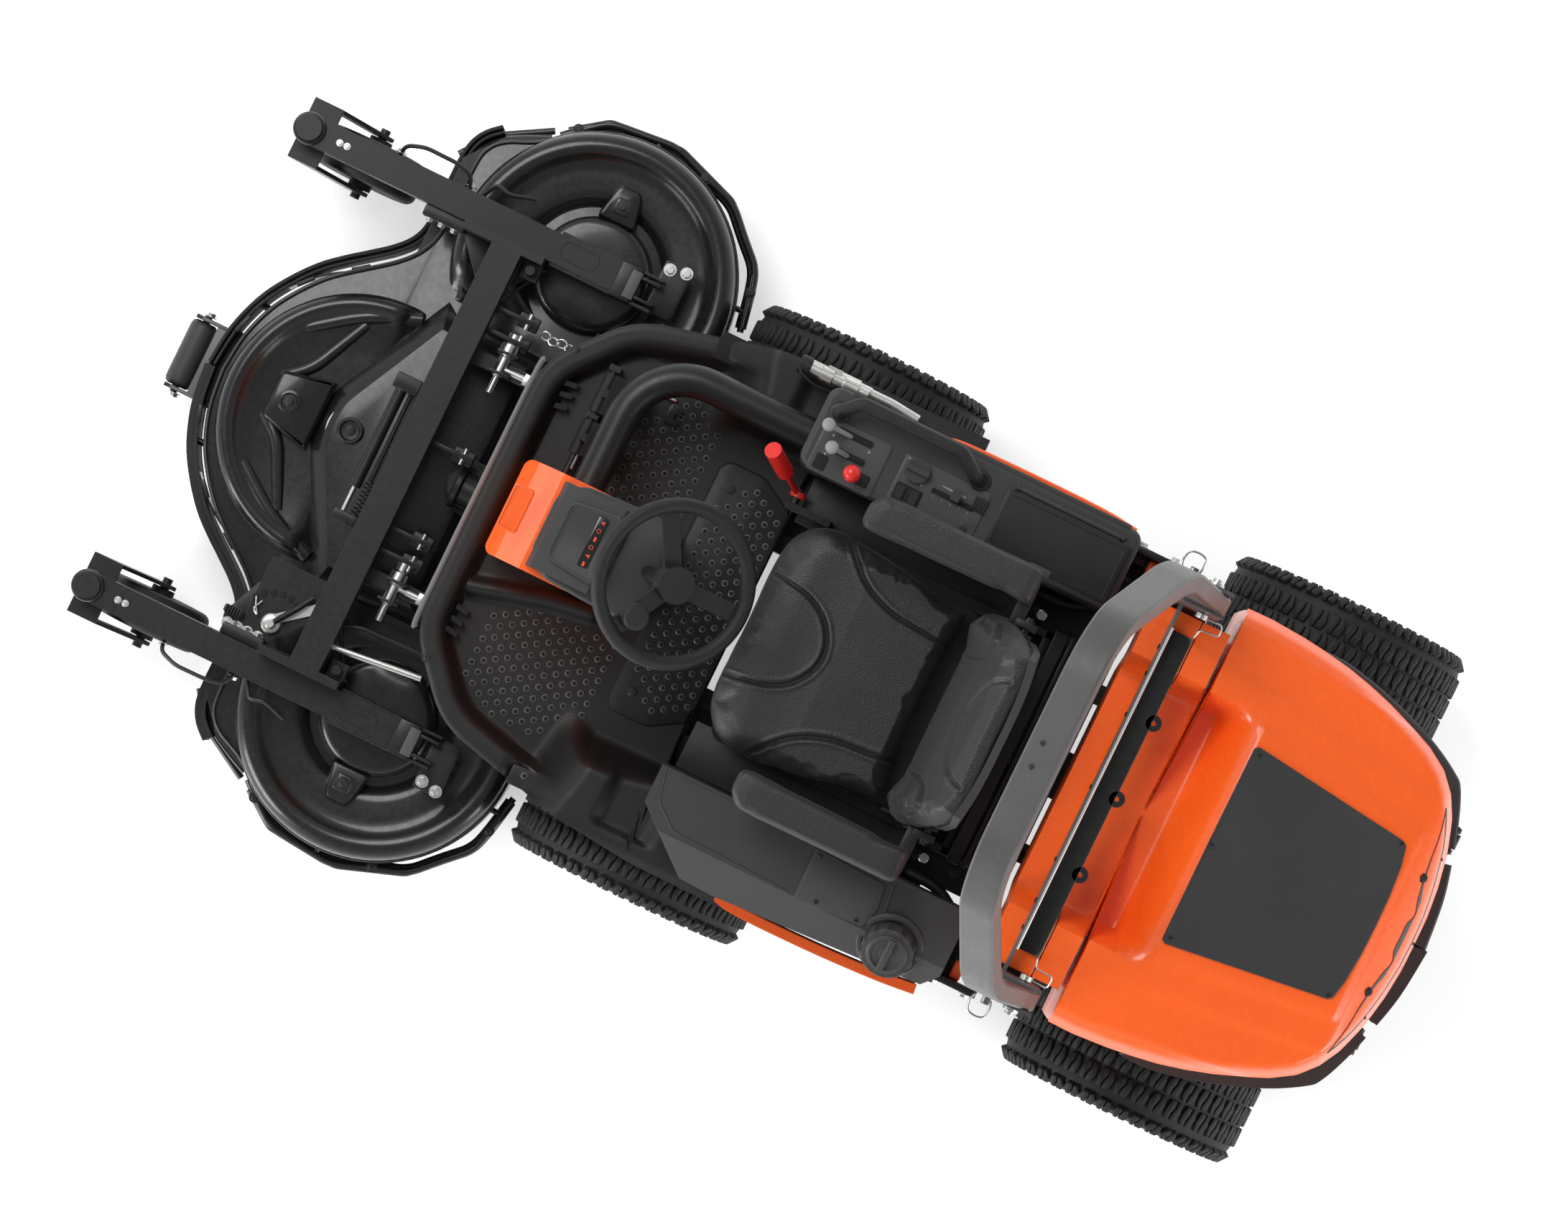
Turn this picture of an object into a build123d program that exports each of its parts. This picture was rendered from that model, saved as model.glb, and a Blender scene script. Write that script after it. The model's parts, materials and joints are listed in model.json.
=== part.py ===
from build123d import *
import os
from math import cos, radians, sin, sqrt, tan

os.makedirs("parts", exist_ok=True)

# Articulated front mower. Millimetres, +Z up, ground at Z = 0, the deck points to -Y,
# the operator's left is +X. Lengths along Y are measured from a datum between the seat
# and the steering wheel; every piece is moved by -MID_LENGTH when it is written, so that
# the origin stands on the ground under the middle of the overall length.

# ---- wheels and axles ----
TYRE_R = 252.0
FRONT_TYRE_W = 205.0
REAR_TYRE_W = 250.0
FRONT_AXLE_Y = -50.0
WHEELBASE = 1066.0
REAR_AXLE_Y = FRONT_AXLE_Y + WHEELBASE
FRONT_TRACK = 975.0          # between the middles of the front tyres
REAR_TRACK = 856.0
RIM_R = 128.0
STUB_R = 22.0
RUN = 0.05                   # radial running clearance of a shaft in its bore

# ---- main frame ----
RAIL_X = 170.0               # rail centre from the middle plane
RAIL_W = 40.0
RAIL_BOTTOM = 270.0
RAIL_TOP = 350.0
RAIL_FRONT_Y = -400.0
RAIL_REAR_Y = 520.0
UPPER_RAIL_Z = 560.0
UPPER_RAIL_H = 40.0
UPPER_TOP = UPPER_RAIL_Z + UPPER_RAIL_H
UPPER_REAR_Y = 1290.0
PIVOT_Y = 575.0              # vertical pivot of the steering bogie
PIVOT_R = 20.0
HUB_LOW = 185.0
HUB_HIGH = 330.0

# ---- platform and column ----
FLOOR_Z = 405.0
FLOOR_T = 15.0
FLOOR_TOP = FLOOR_Z + FLOOR_T
RIM_TOP = 465.0
PLATFORM_FRONT_Y = -640.0
FENDER_Z = 532.0
FENDER_T = 12.0
FENDER_X = 525.0
COLUMN_HALF_W = 100.0
SUPPORT_R = 33.0
SUPPORT_Z = 600.0
WHEEL_CENTRE_Y = -209.0
WHEEL_CENTRE_Z = 950.0
WHEEL_TILT = 23.4
WHEEL_RIM_R = 150.0
WHEEL_TUBE_R = 14.5
KNOB_XY = (86, -50)          # spinner knob in the plane of the steering wheel
KNOB_R = 26.0
SHAFT_R = 14.0

# ---- seat and consoles ----
SEAT_TOP = 760.0
CUSHION_T = 95.0
SLIDE_TOP = 626.0
CONSOLE_TOP = 850.0
CONSOLE_BOTTOM = 560.0
CONSOLE_IN_X = -312.0
CONSOLE_OUT_X = -475.0
CONSOLE_FRONT_Y = -105.0
CONSOLE_REAR_Y = 550.0
TANK_TOP = 830.0
WALL = 4.0

# ---- controls ----
LEVER_Y = 0.0
LEVER_Z = 815.0
LEVER_XS = (-398.0, -362.0)
LIFT_LEVER_X = -334.0
KEY_XY = (-395.0, 110.0)
THROTTLE_X = -374.0
THROTTLE_Z = 800.0
ROCKER_YS = (96.0, 124.0)
ROCKER_X = -345.0
BRAKE_X = -262.0
BRAKE_Y = -75.0
BRAKE_LEAN = (-0.27, -0.42, 0.8664)
BRAKE_Z = 640.0
HANDLE_YS = (-72.0, 215.0)

# ---- roll-over hoop ----
HOOP_TOP_Z = 1950.0
HOOP_END_Z = 1060.0
HOOP_LEAN = 13.0
HOOP_IN_PLANE = 38.0
HOOP_DEPTH = 66.0
HOOP_HALF_W = 424.0
HOOP_PIVOT_Z = 1105.0
HOOP_END_Y = 706.0
LUG_PITCH = 157.0            # holes in the bar between the posts
LUG_HOLE_R = 4.5
LUG_BACK = 14.0              # from the hoop's plane back to the holes

# ---- hood ----
COWL_FRONT_Y = 614.0         # the fixed cowl runs from here to just short of the hood
HOOD_FRONT_Y = 712.0
HOOD_REAR_Y = 1350.0
HOOD_BOTTOM = 640.0
HOOD_HALF_W = 432.0
HOOD_WALL = 5.0
BUMPER_T = 31.0
HINGE_Y = HOOD_REAR_Y + 2
HINGE_Z = 598.0

# ---- deck ----
SPINDLE_X = 491.0
SIDE_SPINDLE_Y = -636.0
MID_SPINDLE_Y = -930.0
LOBE_R = 290.0
BLADE_R = 278.0
DECK_BOTTOM = 70.0
DECK_TOP = 205.0
DECK_WALL = 6.0
COVER_TOP = 250.0
PULLEY_R = 56.0
BELT_T = 6.0

# ---- equipment frame and casters ----
ARM_X = 502.0
ARM_SIZE = 60.0
ARM_TOP = 335.0
CASTER_Y = -1262.0
CASTER_TRAIL = 117.0
CASTER_R = 112.0
CASTER_W = 84.0
BEAM_Y = -803.5
BEAM_SIZE = 63.0
BEAM_BOTTOM = 345.0
LIFT_Y = -440.0
LIFT_Z = 322.0
LIFT_ARM_X = 240.0
POST_X = 438.0               # posts that guide the deck in the equipment frame
POST_Y = -745.0
POST_R = 10.0
ROLLER_Y = -1304.0
ROLLER_Z = 96.0
ROLLER_R = 28.0

FRONT_END_Y = ROLLER_Y - ROLLER_R
REAR_END_Y = HOOD_REAR_Y - 2 + BUMPER_T
MID_LENGTH = (FRONT_END_Y + REAR_END_Y) / 2


# ---- small makers ----
def block(x0, x1, y0, y1, z0, z1, r=0):
    """Box between two corners, its upright edges rounded by r."""
    body = Pos((x0 + x1) / 2, (y0 + y1) / 2, (z0 + z1) / 2) * Box(x1 - x0, y1 - y0, z1 - z0)
    return fillet(body.edges().filter_by(Axis.Z), r) if r else body


def rod_x(x0, x1, y, z, r):
    return Pos((x0 + x1) / 2, y, z) * Rot(0, 90, 0) * Cylinder(r, abs(x1 - x0))


def rod_y(x, y0, y1, z, r):
    return Pos(x, (y0 + y1) / 2, z) * Rot(90, 0, 0) * Cylinder(r, abs(y1 - y0))


def rod_z(x, y, z0, z1, r):
    return Pos(x, y, (z0 + z1) / 2) * Cylinder(r, z1 - z0)


def plan(points, z0, z1, grow=0.0):
    """Upright prism over an outline of (x, y) points, the outline grown by grow."""
    face = make_face(Polyline(*points, close=True))
    if grow:
        face = offset(face, grow, kind=Kind.INTERSECTION)
    return Pos(0, 0, z0) * extrude(face, z1 - z0)


def side(points, x0, x1):
    """Prism along X over an outline of (y, z) points."""
    face = Plane.YZ * make_face(Polyline(*points, close=True))
    return Pos(x0, 0, 0) * extrude(face, x1 - x0)


def front(points, y0, y1):
    """Prism along Y over an outline of (x, z) points."""
    plane = Plane(origin=(0, y1, 0), x_dir=(1, 0, 0), z_dir=(0, -1, 0))
    return extrude(plane * make_face(Polyline(*points, close=True)), y1 - y0)


def pipe(points, radii, r):
    """Round bar along straight runs joined by tangent arcs."""
    path = FilletPolyline(*points, radius=radii)
    start = Plane(origin=path @ 0, z_dir=path % 0)
    return sweep(start * Circle(r), path)


def both(shape):
    """A piece and its mirror image over the middle plane."""
    return shape + mirror(shape, Plane.YZ)


def cylinder_along(origin, direction, length, r):
    plane = Plane(origin=origin, z_dir=direction)
    return extrude(plane * Circle(r), length)


def write(name, *shapes):
    """Writes one node; several shapes stay separate solids."""
    solids = [s for shape in shapes for s in shape.solids()]
    body = solids[0] if len(solids) == 1 else Compound(children=solids)
    export_step(Pos(0, -MID_LENGTH, 0) * body, f"parts/{name}.step")


# ---- road wheels ----
def road_wheel(x, y, width):
    """Tyre and dished rim; the outboard face points away from the middle plane."""
    out = 1 if x > 0 else -1
    half = width / 2
    profile = [(RIM_R, -half * 0.82), (RIM_R + 50, -half), (TYRE_R - 34, -half),
               (TYRE_R, -half + 34), (TYRE_R, half - 34), (TYRE_R - 34, half),
               (RIM_R + 50, half), (RIM_R, half * 0.82)]
    face = Plane.XZ * make_face(Polyline(*profile, close=True))
    tyre = revolve(face, Axis.Z)
    barrel = Cylinder(RIM_R, width * 0.82) - Cylinder(RIM_R - 6, width)
    disc = Pos(0, 0, out * 12) * Cylinder(RIM_R - 3, 10)
    hub = Pos(0, 0, out * -8) * Cylinder(48, 50)
    bore = Cylinder(STUB_R + RUN, width + 10)
    rim = barrel + disc + hub - bore
    place = Pos(x, y, TYRE_R) * Rot(0, 90, 0)
    return place * tyre, place * rim


FRONT_X = FRONT_TRACK / 2
REAR_X = REAR_TRACK / 2
write("front_left_wheel", *road_wheel(FRONT_X, FRONT_AXLE_Y, FRONT_TYRE_W))
write("front_right_wheel", *road_wheel(-FRONT_X, FRONT_AXLE_Y, FRONT_TYRE_W))
write("rear_left_wheel", *road_wheel(REAR_X, REAR_AXLE_Y, REAR_TYRE_W))
write("rear_right_wheel", *road_wheel(-REAR_X, REAR_AXLE_Y, REAR_TYRE_W))


# ---- main frame ----
def main_frame():
    inner = RAIL_X - RAIL_W / 2
    outer = RAIL_X + RAIL_W / 2
    half = block(inner, outer, RAIL_FRONT_Y, RAIL_REAR_Y, RAIL_BOTTOM, RAIL_TOP)
    half += block(inner, outer, RAIL_REAR_Y - 60, RAIL_REAR_Y, RAIL_TOP, UPPER_RAIL_Z)
    half += block(inner, outer, RAIL_REAR_Y - 60, UPPER_REAR_Y, UPPER_RAIL_Z, UPPER_TOP)
    # outrigger that carries the roll-over post
    half += block(outer, HOOP_HALF_W, 640, 740, UPPER_RAIL_Z, UPPER_TOP)
    # axle beam, wheel motor and stub of the front wheel
    beam_end = FRONT_X - 45
    half += block(outer, beam_end - 90, FRONT_AXLE_Y - 45, FRONT_AXLE_Y + 45, 207, 300)
    half += rod_x(beam_end - 90, beam_end - 14, FRONT_AXLE_Y, TYRE_R, 62)
    half += rod_x(beam_end - 14, FRONT_X + 60, FRONT_AXLE_Y, TYRE_R, STUB_R)
    # floor rests
    half += block(inner, outer, -380, -330, RAIL_TOP, FLOOR_Z)
    half += block(inner, outer, -130, -80, RAIL_TOP, FLOOR_Z)
    # bracket and pin of the deck lift arm
    bracket = block(outer, LIFT_ARM_X - 16, LIFT_Y - 25, RAIL_FRONT_Y + 60, 296, 348)
    pin = rod_x(outer + 10, LIFT_ARM_X + 30, LIFT_Y, LIFT_Z, 12)
    head = rod_x(LIFT_ARM_X + 20, LIFT_ARM_X + 30, LIFT_Y, LIFT_Z, 19)
    half += bracket + pin + head
    frame = both(half)
    for y0 in (RAIL_FRONT_Y, RAIL_REAR_Y - 40):
        frame += block(-inner, inner, y0, y0 + 40, RAIL_BOTTOM, RAIL_TOP)
    frame += block(-245, 245, UPPER_REAR_Y - 30, UPPER_REAR_Y, UPPER_RAIL_Z, UPPER_TOP)
    frame += block(-inner, inner, 660, 720, UPPER_RAIL_Z, UPPER_TOP)
    # lugs and pin of the steering pivot
    lug_y = (RAIL_REAR_Y - 20, PIVOT_Y + 45)
    frame += block(-60, 60, *lug_y, HUB_HIGH + 0.5, RAIL_TOP)
    frame += block(-60, 60, *lug_y, HUB_LOW - 20, HUB_LOW - 0.5)
    frame += block(-60, 60, RAIL_REAR_Y - 20, RAIL_REAR_Y, HUB_LOW - 20, RAIL_BOTTOM)
    frame += rod_z(0, PIVOT_Y, HUB_LOW - 25, RAIL_TOP + 8, PIVOT_R)
    # battery tray on the right
    frame += block(-360, -inner, 830, 1010, UPPER_TOP - 5, UPPER_TOP)
    # arms and pins of the hood hinge
    ears = block(188, 198, UPPER_REAR_Y, HINGE_Y, HINGE_Z - 10, HINGE_Z + 2)
    ears += block(232, 242, UPPER_REAR_Y, HINGE_Y, HINGE_Z - 10, HINGE_Z + 2)
    ears += rod_x(188, 198, HINGE_Y, HINGE_Z, 10) + rod_x(232, 242, HINGE_Y, HINGE_Z, 10)
    frame += both(ears + rod_x(186, 244, HINGE_Y, HINGE_Z, 6))
    return frame


def seat_base():
    """Pedestal between the rails and the seat, with the two seat slides on top."""
    top = SLIDE_TOP - 14
    shell = block(-230, 230, -30, 430, RAIL_TOP, top, 20)
    shell -= block(-225, 225, -25, 425, RAIL_TOP - 1, top - 5, 15)
    slides = both(block(150, 180, -20, 400, top, SLIDE_TOP))
    arm = block(230, 314, 80, 130, CONSOLE_BOTTOM - 20, CONSOLE_BOTTOM)
    arm += block(230, 314, 380, 425, CONSOLE_BOTTOM - 20, CONSOLE_BOTTOM)
    shelf = block(300, 470, 60, 425, CONSOLE_BOTTOM - 6, CONSOLE_BOTTOM)
    arm += shelf
    brake_pin = rod_x(BRAKE_X - 12, -230, BRAKE_Y, BRAKE_Z, 8)
    brake_plate = block(-244, -230, BRAKE_Y - 14, BRAKE_Y + 80, BRAKE_Z - 60, BRAKE_Z + 14)
    return shell + slides + both(arm) + brake_pin + brake_plate


write("main_frame", main_frame())
write("seat_base", seat_base())


# ---- platform with both fenders ----
def platform():
    edge = [(285, PLATFORM_FRONT_Y), (440, -510), (482, -330), (352, -330), (352, -70)]
    outline = edge + [(-x, y) for x, y in reversed(edge)]
    floor = plan(outline, FLOOR_Z, FLOOR_TOP)
    lip = edge[:3] + [(436, -330), (400, -490), (265, -595)]
    lip = [(0, PLATFORM_FRONT_Y)] + lip + [(0, -595)]
    rim = both(plan(lip, FLOOR_TOP, RIM_TOP))
    top = block(352, FENDER_X, -330, 240, FENDER_Z, FENDER_Z + FENDER_T, 20)
    top += block(352, 482, -330, -318, FLOOR_Z, FENDER_Z + 1)
    top += block(352, 364, -330, 60, FLOOR_Z, FENDER_Z + 1)
    return floor + rim + both(top)


def floor_lid():
    edge = [(175, -242), (245, -242), (272, -215), (272, -150), (230, -72)]
    outline = edge + [(-x, y) for x, y in reversed(edge)]
    lid = plan(outline, FLOOR_TOP, FLOOR_TOP + 6)
    return lid - block(-COLUMN_HALF_W - 5, COLUMN_HALF_W + 5, -260, -240, 400, 440)


write("platform", platform())
write("floor_lid", floor_lid())

# ---- steering column ----
TILT = radians(WHEEL_TILT)
SHAFT_DOWN = (0, -sin(TILT), -cos(TILT))
WHEEL_CENTRE = (0, WHEEL_CENTRE_Y, WHEEL_CENTRE_Z)
WHEEL_PLANE = Plane(origin=WHEEL_CENTRE, x_dir=(1, 0, 0), z_dir=(0, sin(TILT), cos(TILT)))


def shaft(length, r, start=0):
    origin = tuple(c + d * start for c, d in zip(WHEEL_CENTRE, SHAFT_DOWN))
    return cylinder_along(origin, SHAFT_DOWN, length, r)


def column_body(inset):
    """Outline of the column casing seen from the side, drawn in by inset."""
    profile = [(-575 + inset, FLOOR_TOP), (-575 + inset, 640), (-545 + inset, 725),
               (-490 + inset, 812 - inset), (-330, 818 - inset), (-246 - inset, 740 - inset),
               (-246 - inset, FLOOR_TOP)]
    return side(profile, -COLUMN_HALF_W + inset, COLUMN_HALF_W - inset)


def column_shroud():
    shell = column_body(0)
    shell = fillet(shell.edges().filter_by(Axis.Z), 18)
    shell -= column_body(WALL)
    shell -= shaft(400, SHAFT_R + 8)
    return shell


def dash_panel():
    profile = [(-482, 812.3), (-472, 846), (-352, 858), (-334, 840), (-334, 818.2)]
    dash = side(profile, -88, 88)
    collar = shaft(70, 30, 160) - column_body(-0.3)
    collar -= shaft(300, SHAFT_R + RUN)
    return dash, collar


def column_support():
    points = [(-378, CONSOLE_FRONT_Y, SUPPORT_Z), (-378, -447, SUPPORT_Z),
              (-COLUMN_HALF_W, -447, SUPPORT_Z)]
    return pipe(points, [130], SUPPORT_R)


def steering_wheel():
    wheel = Torus(WHEEL_RIM_R, WHEEL_TUBE_R) + Cylinder(36, 34)
    for angle in (90, -30, -150):
        spoke = Pos(WHEEL_RIM_R / 2, 0, -4) * Box(WHEEL_RIM_R - 6, 34, 9)
        wheel += Rot(0, 0, angle) * spoke
    wheel += Pos(*KNOB_XY, -2) * Cylinder(15, 9)
    wheel += Pos(*KNOB_XY, 12) * Cylinder(5, 26)
    return WHEEL_PLANE * wheel + shaft(250, SHAFT_R, 10)


def spinner_knob():
    knob = Pos(*KNOB_XY, 18) * Cylinder(KNOB_R, 30)
    knob = fillet(knob.edges().sort_by(Axis.Z)[-1], 8)
    knob -= Pos(*KNOB_XY, 0) * Cylinder(5 + RUN, 56)
    return WHEEL_PLANE * knob


write("column_shroud", column_shroud())
write("dash_panel", *dash_panel())
write("steering_wheel", steering_wheel())
write("spinner_knob", spinner_knob())


# ---- pedals ----
def pedal(x0, x1, y, z, reach):
    """Tread on an arm that turns about a cross rod at (y, z)."""
    boss = rod_x(x0, x1, y, z, 14)
    tread = Pos((x0 + x1) / 2, y + reach / 2 + 8, z + 26) * Rot(-12, 0, 0)
    tread = tread * Box(x1 - x0, reach, 8)
    neck = block((x0 + x1) / 2 - 8, (x0 + x1) / 2 + 8, y - 4, y + 30, z, z + 28)
    return boss + tread + neck - rod_x(x0 - 1, x1 + 1, y, z, 7 + RUN)


PEDAL_Y = -505.0
PEDAL_Z = 452.0
write("forward_pedal", pedal(-322, -240, PEDAL_Y, PEDAL_Z, 78))
write("reverse_pedal", pedal(-222, -150, PEDAL_Y, PEDAL_Z, 70))
stands = block(-340, -328, PEDAL_Y - 12, PEDAL_Y + 12, FLOOR_TOP, PEDAL_Z + 12)
stands += block(-236, -226, PEDAL_Y - 12, PEDAL_Y + 12, FLOOR_TOP, PEDAL_Z + 12)
pedal_rod = stands + rod_x(-340, -COLUMN_HALF_W, PEDAL_Y, PEDAL_Z, 7)
write("column_support", column_support(), pedal_rod)


# ---- right console ----

def right_console():
    box = block(CONSOLE_OUT_X, CONSOLE_IN_X, CONSOLE_FRONT_Y, CONSOLE_REAR_Y,
                CONSOLE_BOTTOM, CONSOLE_TOP, 25)
    box = fillet(box.edges().filter_by(Plane.XY).group_by(Axis.Z)[-1], 12)
    box -= block(CONSOLE_OUT_X + WALL, CONSOLE_IN_X - WALL, CONSOLE_FRONT_Y + WALL,
                 CONSOLE_REAR_Y - WALL, CONSOLE_BOTTOM - 1, CONSOLE_TOP - WALL, 21)
    for x in LEVER_XS:
        box -= block(x - 9, x + 9, LEVER_Y - 62, LEVER_Y + 26, CONSOLE_TOP - 10, CONSOLE_TOP + 1)
        box += block(x - 10, x + 10, LEVER_Y + 40, LEVER_Y + 46, LEVER_Z - 12, CONSOLE_TOP - WALL)
    box -= block(LIFT_LEVER_X - 12, LIFT_LEVER_X + 12, LEVER_Y - 10, LEVER_Y + 36,
                 CONSOLE_TOP - 10, CONSOLE_TOP + 1)
    box -= block(THROTTLE_X - 4, THROTTLE_X + 4, 150, 236, CONSOLE_TOP - 10, CONSOLE_TOP + 1)
    box -= rod_z(*KEY_XY, CONSOLE_TOP - 10, CONSOLE_TOP + 1, 8)
    for y in ROCKER_YS:
        box -= block(ROCKER_X - 15, ROCKER_X + 15, y - 11, y + 11, CONSOLE_TOP - 10,
                     CONSOLE_TOP + 1)
    # open well under the lid, with its own floor
    box -= block(-440, -328, 283, 530, CONSOLE_TOP - 20, CONSOLE_TOP + 1)
    box += block(CONSOLE_OUT_X + WALL, CONSOLE_IN_X - WALL, 270, CONSOLE_REAR_Y - WALL,
                 740, 744)
    # cross rods that carry the levers, rockers and throttle
    box += rod_x(CONSOLE_OUT_X + 1, CONSOLE_IN_X - 1, LEVER_Y, LEVER_Z, 4)
    box += rod_x(CONSOLE_OUT_X + 1, CONSOLE_IN_X - 1, 195, THROTTLE_Z, 4)
    for y in ROCKER_YS:
        box += rod_x(ROCKER_X - 24, CONSOLE_IN_X - 1, y, CONSOLE_TOP - 8, 2)
    box += block(ROCKER_X - 28, ROCKER_X - 23, 82, 138, CONSOLE_TOP - 14, CONSOLE_TOP - WALL)
    return box


def grab_handle():
    x_in, x_out = CONSOLE_OUT_X + 45, CONSOLE_OUT_X + 14
    y0, y1 = HANDLE_YS
    points = [(x_in, y0, CONSOLE_TOP), (x_in, y0, CONSOLE_TOP + 34),
              (x_out, y0 + 34, CONSOLE_TOP + 52), (x_out, y1 - 44, CONSOLE_TOP + 52),
              (x_in, y1, CONSOLE_TOP + 34), (x_in, y1, CONSOLE_TOP)]
    return pipe(points, [20, 20, 24, 20], 13)


def lever(x, knob_r, length, lean, rod_r=4.5):
    """Hand lever on a cross rod: eye, rod leaning forward, and its knob."""
    origin = (x, LEVER_Y, LEVER_Z)
    up = (0, -sin(radians(lean)), cos(radians(lean)))
    eye = rod_x(x - 6, x + 6, LEVER_Y, LEVER_Z, 9)
    stem = cylinder_along(origin, up, length, rod_r)
    tip = tuple(o + u * length for o, u in zip(origin, up))
    knob = Pos(*tip) * Sphere(knob_r)
    return eye + stem + knob - rod_x(x - 8, x + 8, LEVER_Y, LEVER_Z, 4 + RUN)


def throttle_lever():
    eye = rod_x(THROTTLE_X - 3, THROTTLE_X + 3, 195, THROTTLE_Z, 9)
    stem = block(THROTTLE_X - 2, THROTTLE_X + 2, 190, 200, THROTTLE_Z, CONSOLE_TOP + 18)
    grip = block(THROTTLE_X - 22, THROTTLE_X + 2, 186, 204, CONSOLE_TOP + 14,
                 CONSOLE_TOP + 28, 3)
    return eye + stem + grip - rod_x(THROTTLE_X - 5, THROTTLE_X + 5, 195, THROTTLE_Z, 4 + RUN)


def key_knob():
    knob = rod_z(*KEY_XY, CONSOLE_TOP + 0.5, CONSOLE_TOP + 14, 24)
    knob += Pos(KEY_XY[0], KEY_XY[1], CONSOLE_TOP + 18) * Box(10, 46, 12)
    return knob + rod_z(*KEY_XY, CONSOLE_TOP - 14, CONSOLE_TOP + 2, 7.9)


def rocker(y):
    body = block(ROCKER_X - 14, ROCKER_X + 14, y - 8, y + 8, CONSOLE_TOP - 16, CONSOLE_TOP + 6)
    return body - rod_x(ROCKER_X - 15, ROCKER_X + 15, y, CONSOLE_TOP - 8, 2 + RUN)


def brake_lever():
    """Hand lever beside the seat base, leaning forward, with a round grip."""
    start = (BRAKE_X, BRAKE_Y, BRAKE_Z)
    eye = rod_x(BRAKE_X - 6, BRAKE_X + 6, BRAKE_Y, BRAKE_Z, 16)
    stem = cylinder_along(start, BRAKE_LEAN, 110, 6)
    grip_start = tuple(s + u * 96 for s, u in zip(start, BRAKE_LEAN))
    grip = cylinder_along(grip_start, BRAKE_LEAN, 92, 17)
    return eye + stem + grip - rod_x(BRAKE_X - 14, BRAKE_X + 8, BRAKE_Y, BRAKE_Z, 8 + RUN)


def console_lid():
    lid = block(-446, -322, 277, 536, CONSOLE_TOP, CONSOLE_TOP + 5, 10)
    for y0, y1 in ((291, 300.2), (509.8, 519)):
        lid -= block(-460, -440, y0, y1, CONSOLE_TOP - 1, CONSOLE_TOP + 20)
    knuckle = rod_y(-449, 300, 510, CONSOLE_TOP + 5, 5)
    return lid + knuckle - rod_y(-449, 290, 520, CONSOLE_TOP + 5, 2 + RUN)


def lid_hinge():
    """Pin of the console lid in two ears on the console."""
    pin = rod_y(-449, 292, 518, CONSOLE_TOP + 5, 2)
    ears = block(-454, -444, 292, 299.5, CONSOLE_TOP, CONSOLE_TOP + 10)
    ears += block(-454, -444, 510.5, 518, CONSOLE_TOP, CONSOLE_TOP + 10)
    return (pin + ears) - block(-446, -322, 277, 536, CONSOLE_TOP - 1, CONSOLE_TOP + 30)


write("right_console", right_console() + lid_hinge())
write("grab_handle", grab_handle())
write("aux_lever_outer", lever(LEVER_XS[0], 13, 118, 42))
write("aux_lever_inner", lever(LEVER_XS[1], 13, 104, 32))
write("lift_lever", lever(LIFT_LEVER_X, 17, 84, 0, 5.5))
write("throttle_lever", throttle_lever())
write("key_knob", key_knob())
write("rocker_front", rocker(ROCKER_YS[0]))
write("rocker_rear", rocker(ROCKER_YS[1]))
write("brake_lever", brake_lever())
write("console_lid", console_lid())


# ---- left console: the fuel tank ----
CAP_BASE = (432.0, 455.0, 812.0)
CAP_AXIS = (sin(radians(24)), 0, cos(radians(24)))
CAP_R = 50.0
CAP_LIFT = 12.0              # from the neck's root up to the cap
TANK_PLAN = [(314, -82), (392, -82), (497, 40), (500, 110), (478, 540), (448, 566), (314, 566)]


def tank_body(inset):
    body = plan(TANK_PLAN, CONSOLE_BOTTOM + inset, TANK_TOP - inset, -inset)
    cut = front([(430 - inset, TANK_TOP + 1), (520, TANK_TOP - 82), (520, TANK_TOP + 1)],
                -100, 600)
    return body - cut


def along_cap(distance):
    return tuple(b + a * distance for b, a in zip(CAP_BASE, CAP_AXIS))


def fuel_tank():
    neck = cylinder_along(CAP_BASE, CAP_AXIS, 26, 36)
    bore = cylinder_along(CAP_BASE, CAP_AXIS, 60, 30)
    recess = cylinder_along(along_cap(CAP_LIFT - 0.2), CAP_AXIS, 60, CAP_R + 0.6)
    recess_wall = cylinder_along(along_cap(CAP_LIFT - WALL), CAP_AXIS, 60, CAP_R + 0.6 + WALL)
    hollow = tank_body(WALL) - recess_wall
    return tank_body(0) - recess + neck - hollow - bore


def fuel_cap():
    cap = cylinder_along(along_cap(CAP_LIFT), CAP_AXIS, 34, CAP_R)
    return cap - cylinder_along(along_cap(CAP_LIFT), CAP_AXIS, 14.5, 36.5)


def side_panels():
    right = block(CONSOLE_OUT_X - 20, CONSOLE_OUT_X - 0.5, 120, 545, CONSOLE_BOTTOM, 660, 6)
    left = plan([(490, 112), (514, 150), (492, 540), (470, 540)], CONSOLE_BOTTOM, 660)
    return right, left - tank_body(-0.3)


write("fuel_tank", fuel_tank())
write("fuel_cap", fuel_cap())

# ---- seat ----
PAN_TOP = SEAT_TOP - CUSHION_T  # the cushion stands on the pan
BACK_TOP = 1120.0
RECLINE_Y = 392.0
RECLINE_Z = 690.0
ARM_PIVOT_Y = 420.0
ARM_PIVOT_Z = 905.0


def seat_pan():
    pan = block(-205, 205, -40, 360, PAN_TOP - 6, PAN_TOP, 20)
    pan += both(block(146, 184, -20, 360, SLIDE_TOP - 12, PAN_TOP - 6))
    pan -= both(block(149.7, 180.3, -40, 405, SLIDE_TOP - 20, SLIDE_TOP + 0.3))
    ears = block(206, 212, 330, 420, 640, 720) + block(184, 212, 330, 360, 640, 650)
    ears -= rod_x(200, 220, RECLINE_Y, RECLINE_Z, 8 + RUN)
    return pan + both(ears)


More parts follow.
